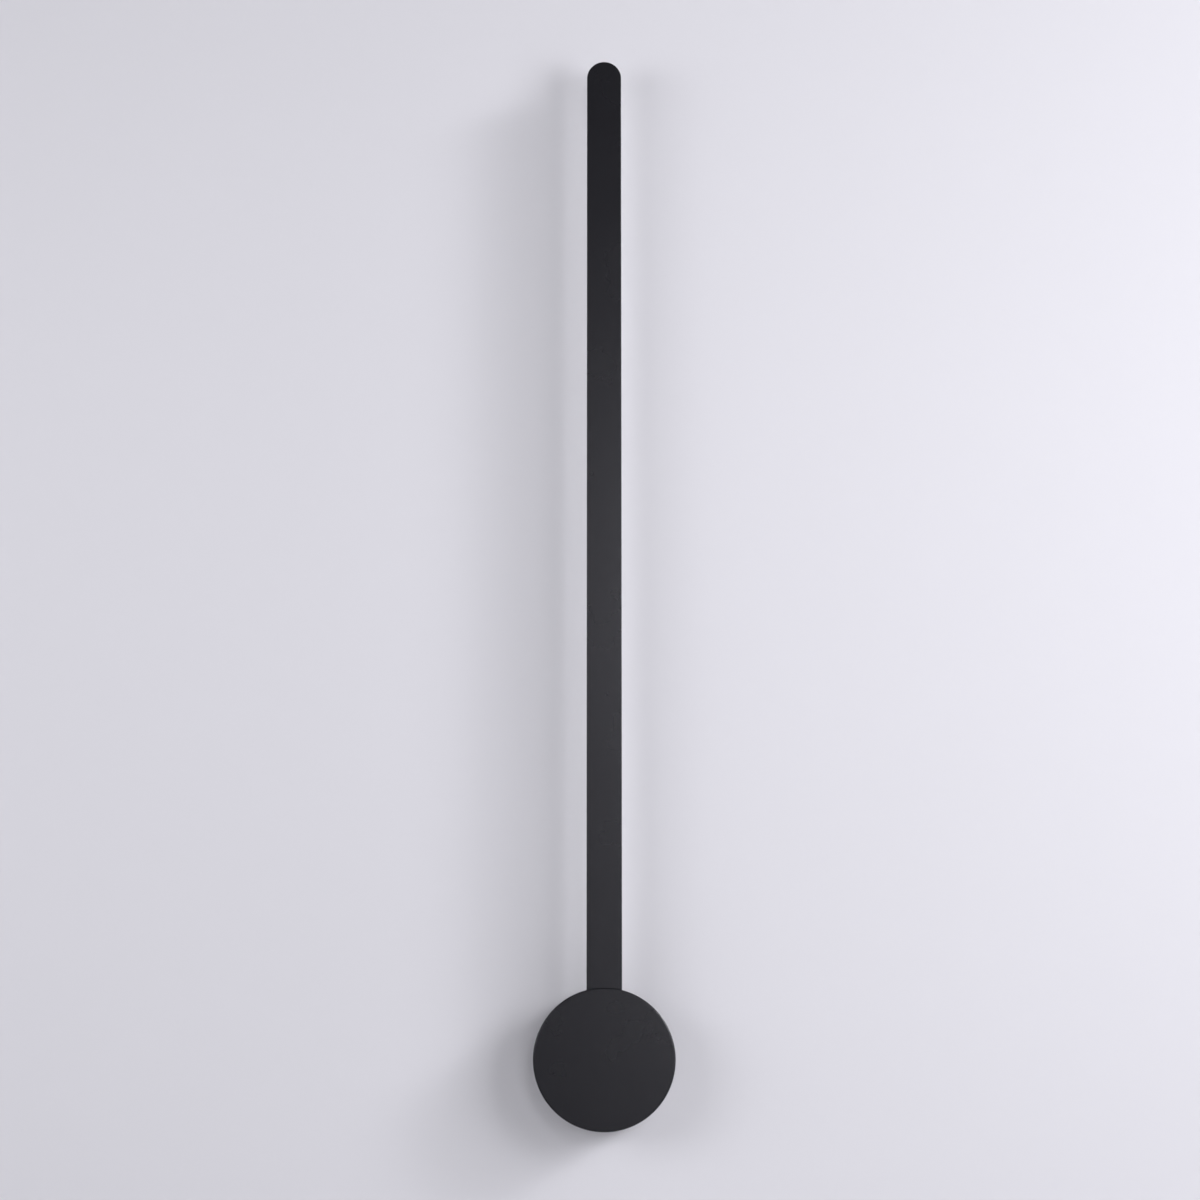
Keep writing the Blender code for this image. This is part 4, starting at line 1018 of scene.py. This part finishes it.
board = {
    "thick": 1.6 * mm, "cans": ((-18 * mm, 5 * mm, 4 * mm), (-18 * mm, -6 * mm, 3 * mm)),
    "choke": (17 * mm, -4 * mm, 4.5 * mm), "corner": 0.8 * mm, "edge": 0.2 * mm, "viaRadius": 0.6 * mm,
    "viaColumns": (-26 * mm, -9 * mm, 9.5 * mm, 26 * mm), "viaRows": (-9 * mm, 9 * mm)}


def makeDriverBoard():
    low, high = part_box("driver_board")
    rear = low.y + board["thick"]
    centreZ = (low.z + high.z) / 2
    plate = roundedBlock("driverBoard", low, (high.x, rear, high.z), board["corner"], "greenMask")
    for x in board["viaColumns"]:
        for z in board["viaRows"]:
            drillAt(plate, board["viaRadius"], x, centreZ + z, low.y - past, rear + past, 16)
    parts = [plate]
    core = roundedBlock(
        "core", (-7 * mm, rear - 0.1 * mm, centreZ - 8 * mm), (7 * mm, high.y - 0.6 * mm, centreZ + 7 * mm),
        1 * mm, "blackMoulding")
    winding = roundedBlock(
        "winding", (-5 * mm, rear + 1 * mm, centreZ - 6.4 * mm), (5 * mm, high.y, centreZ + 5.4 * mm),
        1.6 * mm, "yellowSleeve")
    parts += [core, winding]
    for x, z, radius in board["cans"]:
        can = turnedPiece(
            "can", "blackMoulding",
            [(radius, rear - 0.1 * mm), (radius, rear + 0.8 * mm), (0.93 * radius, rear + 1.1 * mm),
             (radius, rear + 1.5 * mm), (radius, high.y - 1 * mm), (0.9 * radius, high.y - 0.5 * mm),
             (0.86 * radius, high.y - 0.6 * mm)], 32)
        can.location = (x, 0, centreZ + z)
        parts.append(can)
    x, z, radius = board["choke"]
    choke = turnedPiece(
        "choke", "copper",
        [(radius, rear - 0.1 * mm), (radius, rear + 0.8 * mm), (0.7 * radius, rear + 0.8 * mm),
         (0.74 * radius, high.y - 1.8 * mm), (radius, high.y - 1.8 * mm), (radius, high.y - 1 * mm)], 32)
    choke.location = (x, 0, centreZ + z)
    parts.append(choke)
    for piece in parts[1:]:
        mergeSlivers(softenCorners(settle(piece), board["edge"], 2, 50))
    joinInto(plate, parts[1:])
    return finish(plate, "base", ["driver_board"])


makeCrossbar()
makeTerminal()
makeDriverCase()
makeDriverLid()
makeDriverBoard()
print("bracket, terminal and driver made")


# LED strip

strip = {
    "count": 48, "pitch": 16.5 * mm, "package": (3.5 * mm, 2.8 * mm), "rise": 0.7 * mm, "window": 0.45 * mm,
    "windowDepth": 0.12 * mm, "thick": 1 * mm, "corner": 0.6 * mm, "sunk": 0.05 * mm,
    "pad": (2.2 * mm, 3 * mm), "padAt": 3.2 * mm, "padFoot": 1 * mm, "padRise": 0.06 * mm}


def makeStrip():
    low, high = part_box("led_strip")
    rear = low.y + strip["thick"]
    centreZ = (low.z + high.z) / 2
    plate = roundedBlock("ledStrip", low, (high.x, rear, high.z), strip["corner"], "whiteMask")
    wide, tall = strip["package"]
    package = addBox(
        "package", (-wide / 2, rear - strip["sunk"], -tall / 2), (wide / 2, rear + strip["rise"], tall / 2),
        "whiteMask")
    package.data.materials.append(looks["phosphor"])
    startEdit(package)
    pickFaces(package, lambda centre, normal: normal.y > 0.9)
    bpy.ops.mesh.inset(thickness=strip["window"])
    extrudeBy((0, -strip["windowDepth"], 0))
    package.active_material_index = 1
    bpy.ops.object.material_slot_assign()
    clearSelection()
    parts = []
    for i in range(strip["count"]):
        z = centreZ + (i - (strip["count"] - 1) / 2) * strip["pitch"]
        parts.append(copyOf(package, "package", (0, 0, z)))
    bpy.data.objects.remove(package, do_unlink=True)
    padWide, padTall = strip["pad"]
    foot = low.z + strip["padFoot"]
    for side in (-1, 1):  # solder pads at the fed end
        x = side * strip["padAt"]
        pad = addBox(
            "pad", (x - padWide / 2, rear - strip["sunk"], foot),
            (x + padWide / 2, rear + strip["padRise"], foot + padTall), "tinnedCopper")
        parts.append(pad)
    joinInto(plate, parts)
    return finish(plate, "arm", ["led_strip"])


makeStrip()
print("LED strip made")


# leads and cables, along the routes of the CAD

cables = {"steps": 8, "leadRadius": 0.9 * mm, "cableRadius": 1.2 * mm, "resolution": 5}
terminalHeights = (31, 22, 19.5)


def smoothRoute(points, steps):  # one smooth curve through the points
    ends = [2 * points[0] - points[1], *points, 2 * points[-1] - points[-2]]
    found = []
    for i in range(1, len(ends) - 2):
        p0, p1, p2, p3 = ends[i - 1:i + 3]
        for k in range(steps):
            t = k / steps
            found.append(0.5 * (2 * p1 + (p2 - p0) * t + (2 * p0 - 5 * p1 + 4 * p2 - p3) * t ** 2
                                + (3 * p1 - p0 - 3 * p2 + p3) * t ** 3))
    return [*found, points[-1]]


def addTube(name, points, radius, look, stripe=None):
    clearSelection()
    curve = bpy.data.curves.new(name, "CURVE")
    curve.dimensions = "3D"
    curve.bevel_depth = radius
    curve.bevel_resolution = cables["resolution"]
    curve.use_fill_caps = True
    route = smoothRoute(points, cables["steps"])
    spline = curve.splines.new("POLY")
    spline.points.add(len(route) - 1)
    for point, place in zip(spline.points, route):
        point.co = (*place, 1)
    tube = bpy.data.objects.new(name, curve)
    bpy.context.collection.objects.link(tube)
    selectOnly(tube)
    bpy.ops.object.convert(target="MESH")
    tube = bpy.context.object
    tube.data.materials.clear()
    tube.data.materials.append(looks[look])
    if stripe:
        tube.data.materials.append(looks[stripe])
        sides = 4 + 2 * cables["resolution"]
        for face in tube.data.polygons:
            face.material_index = int((face.index % sides) * 4 // sides % 2)
    startEdit(tube)
    bpy.ops.mesh.select_all(action="SELECT")
    bpy.ops.mesh.remove_doubles(threshold=0.000002)
    bpy.ops.mesh.normals_make_consistent(inside=False)
    clearSelection()
    return tube


routes = {
    "live_lead_detailed": {
        "node": "live_lead", "look": "brownSleeve", "slot": "lead_live", "route": [
            *(at(-8, 14.5, z) for z in terminalHeights), at(-11, 14, 15.5), at(-22, 13, 10), at(-36, 13, 2),
            at(-44.5, 13, -8), at(-45, 13, -19), at(-40.5, 14, -25.6),
            *(at(-31 + reach, 14, -27) for reach in (-4, -1.5, 2.5, 5))]},
    "neutral_lead_detailed": {
        "node": "neutral_lead", "look": "blueSleeve", "slot": "lead_neutral", "route": [
            *(at(0, 14.5, z) for z in terminalHeights), at(-3, 14, 13), at(-20, 13, 5), at(-33, 13, -2.5),
            at(-40.5, 13, -10), at(-40.5, 13, -17), at(-37.5, 14, -21.6),
            *(at(-31 + reach, 14, -22.5) for reach in (-4, -1.5, 2.5, 5))]},
    "earthLead": {
        "node": "earth_lead", "look": "greenSleeve", "stripe": "yellowSleeve", "slot": "lead_earth",
        "angle": 50, "route": [
            at(21.8, 2.8, 2.8), at(23.8, 3.1, 4.8), at(23, 9, 11), at(12, 13, 15),
            *(at(8, 14.5, z) for z in reversed(terminalHeights))]},
    "outputCable": {
        "node": "output_cable", "look": "cableJacket", "slot": "cable_jacket", "route": [
            *(at(31 + reach, 14, -24) for reach in (-5, -2.5, 2, 4.5)), at(41, 13, -18), at(42, 11, -9),
            at(33, 9.5, -4), at(20, 9, -6), at(8, 9.5, -4), at(1.5, 13, -0.8),
            *(at(0, depth, 0) for depth in (18, 24, 32))]},
    "armCable": {
        "node": "arm_cable", "look": "cableJacket", "slot": "cable_jacket", "body": "arm", "route": [
            at(0, 32.3, 0), at(0, 36, 0), at(0, 40, 0), at(0, 43.3, 1.4), at(0, 44.5, 4.6),
            *(at(0, 44.5, z) for z in (14, 40, 65.5))]}}
tag = {"radius": 4.6 * mm, "eye": 2.3 * mm, "edge": 0.15 * mm, "near": 1.8, "far": 2.6}  # earth ring


def makeTag():
    lug = addRod("lug", tag["radius"], at(19, tag["near"], 0), at(19, tag["far"], 0), 64, "tinnedCopper")
    drill(lug, tag["eye"], at(19, 1, 0), at(19, 4, 0), 48)
    return softenCorners(lug, tag["edge"], 2, 60)


for name, lead in routes.items():
    radius = cables["cableRadius"] if lead["look"] == "cableJacket" else cables["leadRadius"]
    piece = addTube(name, lead["route"], radius, lead["look"], lead.get("stripe"))
    if "stripe" in lead:
        joinInto(piece, [makeTag()])
    finish(piece, lead.get("body", "base"), [lead["node"]], lead.get("angle", 60))
print("leads and cables made")


# CAD nodes whose shape stays take a finish of their own

nodeLooks = {
    "zincSteel": ("earth_washer", "wave_washer", "stop_pin", "hub_plate"),
    "milledAluminium": ("arm_block",),
    "greyPad": ("thermal_tape",)}


def finishNodes():
    for look, nodes in nodeLooks.items():
        for node in nodes:
            piece = frame["nodes"][node]
            piece.data.materials.clear()
            piece.data.materials.append(looks[look])
            for face in piece.data.polygons:
                face.material_index = 0


finishNodes()
print("carried-over nodes finished")


# room, lights and camera

room = {
    "wallColour": (0.80, 0.80, 0.80), "floorColour": (0.74, 0.74, 0.75), "size": 7.0, "floor": -1.3,
    "wallBehind": 0.6 * mm}


def paintedWallLook():
    tree, shader = newLook("paintedWall")
    place = objectPlace(tree)
    dim = tuple(0.985 * c for c in room["wallColour"])
    tone = blendColour(tree, noiseNode(tree, place, 2.2, 3.0), dim, room["wallColour"])
    tree.links.new(tone, shader.inputs["Base Color"])
    shader.inputs["Roughness"].default_value = 0.85
    bumpInto(tree, shader, noiseNode(tree, place, 420.0, 4.0), 0.06, 0.2 * mm)
    clear = tree.nodes.new("ShaderNodeBsdfTransparent")  # from behind, and to light, the wall isn't there
    mix = tree.nodes.new("ShaderNodeMixShader")
    behind = tree.nodes.new("ShaderNodeNewGeometry").outputs["Backfacing"]
    toLight = tree.nodes.new("ShaderNodeLightPath").outputs["Is Shadow Ray"]
    tree.links.new(mathNode(tree, "MAXIMUM", behind, toLight), mix.inputs[0])
    tree.links.new(shader.outputs[0], mix.inputs[1])
    tree.links.new(clear.outputs[0], mix.inputs[2])
    tree.links.new(mix.outputs[0], tree.nodes["Material Output"].inputs["Surface"])


def floorLook():
    tree, shader = newLook("paleFloor")
    place = objectPlace(tree)
    dim = tuple(0.97 * c for c in room["floorColour"])
    tone = blendColour(tree, noiseNode(tree, place, 1.5, 4.0), dim, room["floorColour"])
    tree.links.new(tone, shader.inputs["Base Color"])
    shader.inputs["Roughness"].default_value = 0.6


def makeRoom():
    paintedWallLook()
    floorLook()
    clearSelection()
    bpy.ops.mesh.primitive_plane_add(
        size=room["size"], location=(0, room["wallBehind"], room["size"] / 2 + room["floor"]),
        rotation=(math.pi / 2, 0, 0))
    wall = named("backdropWall", "paintedWall")
    clearSelection()
    bpy.ops.mesh.primitive_plane_add(size=2 * room["size"], location=(0, 0, room["floor"]))
    floor = named("paleFloor", "paleFloor")


panel, softBox, card = (0.8, 0.7), (1.0, 0.9), (0.4, 0.4)
lights = {  # place, size and power
    "keyFar": ((3.4, -1.5, 2.0), panel, 41.4),
    "keySide": ((2.7, -1.5, 1.2), panel, 9.4),
    "keyHigh": ((2.6, -1.5, 1.85), panel, 5.0),
    "keyTop": ((2.7, -1.5, 2.6), panel, 6.8),
    "nearSide": ((1.2, -1.3, 0.6), panel, 8.7),
    "nearLow": ((1.2, -1.3, 0.2), panel, 3.2),
    "fillNear": ((-1.2, -1.4, 0.5), softBox, 7.1),
    "fillFar": ((-2.2, -1.4, 0.6), softBox, 4.6),
    "cardMain": ((0.6, -4.4, 1.05), card, 9.1),
    "cardTop": ((0.8, -4.4, 1.4), card, 1.8),
    "cardFoot": ((0.6, -4.4, 0.15), card, 3.3),
    "cardRight": ((1.2, -4.4, 0.15), card, 6.8)}
rearLights = {
    "rearKey": ((0.7, 1.3, 0.8), (0.9, 0.9), 11.0),
    "rearFill": ((-0.9, 1.1, -0.3), (1.0, 1.0), 5.0)}
airStrength = 0.107
seenFromFront = ("backdropWall", "paleFloor", "barShell", "discCover", "opalDiffuser")
lightTint = (1.011, 1.0, 1.085)
lightAim = Vector((0.0, -0.02, 0.42))


def addLight(name, light, aim):
    place, size, power = light
    clearSelection()
    bpy.ops.object.light_add(type="AREA", location=place)
    lamp = bpy.context.object
    lamp.name = name
    lamp.rotation_euler = (aim - lamp.location).to_track_quat("-Z", "Y").to_euler()
    lamp.data.shape = "RECTANGLE"
    lamp.data.size, lamp.data.size_y = size
    lamp.data.energy = power
    lamp.data.color = lightTint
    lamp.visible_camera = False
    return lamp


def makeLights():
    for name, light in lights.items():
        addLight(name, light, lightAim)
    baseInside = bpy.data.collections.new("baseInside")  # the rear lights light only what the base holds
    for piece in bpy.context.scene.objects:
        if piece.type == "MESH" and piece.name not in seenFromFront:
            baseInside.objects.link(piece)
    for name, light in rearLights.items():
        lamp = addLight(name, light, Vector((0, 0, 0)))
        lamp.light_linking.receiver_collection = baseInside
    world = bpy.data.worlds.new("studioAir")
    bpy.context.scene.world = world
    world.use_nodes = True
    air = world.node_tree.nodes["Background"]
    air.inputs["Color"].default_value = (*lightTint, 1)
    air.inputs["Strength"].default_value = airStrength
    bpy.context.scene.view_settings.view_transform = "Standard"


camera = {"place": (-0.0036, -2.55, 0.027), "tilt": 8.26, "lens": 88.3, "sensor": 36.0}


def makeCamera():
    clearSelection()
    bpy.ops.object.camera_add(location=camera["place"], rotation=(math.radians(90 + camera["tilt"]), 0, 0))
    eye = bpy.context.object
    eye.name = "studioCamera"
    eye.data.lens = camera["lens"]
    eye.data.sensor_width = camera["sensor"]
    bpy.context.scene.camera = eye


makeRoom()
makeLights()
makeCamera()
print("room, lights and camera set")

clearSelection()
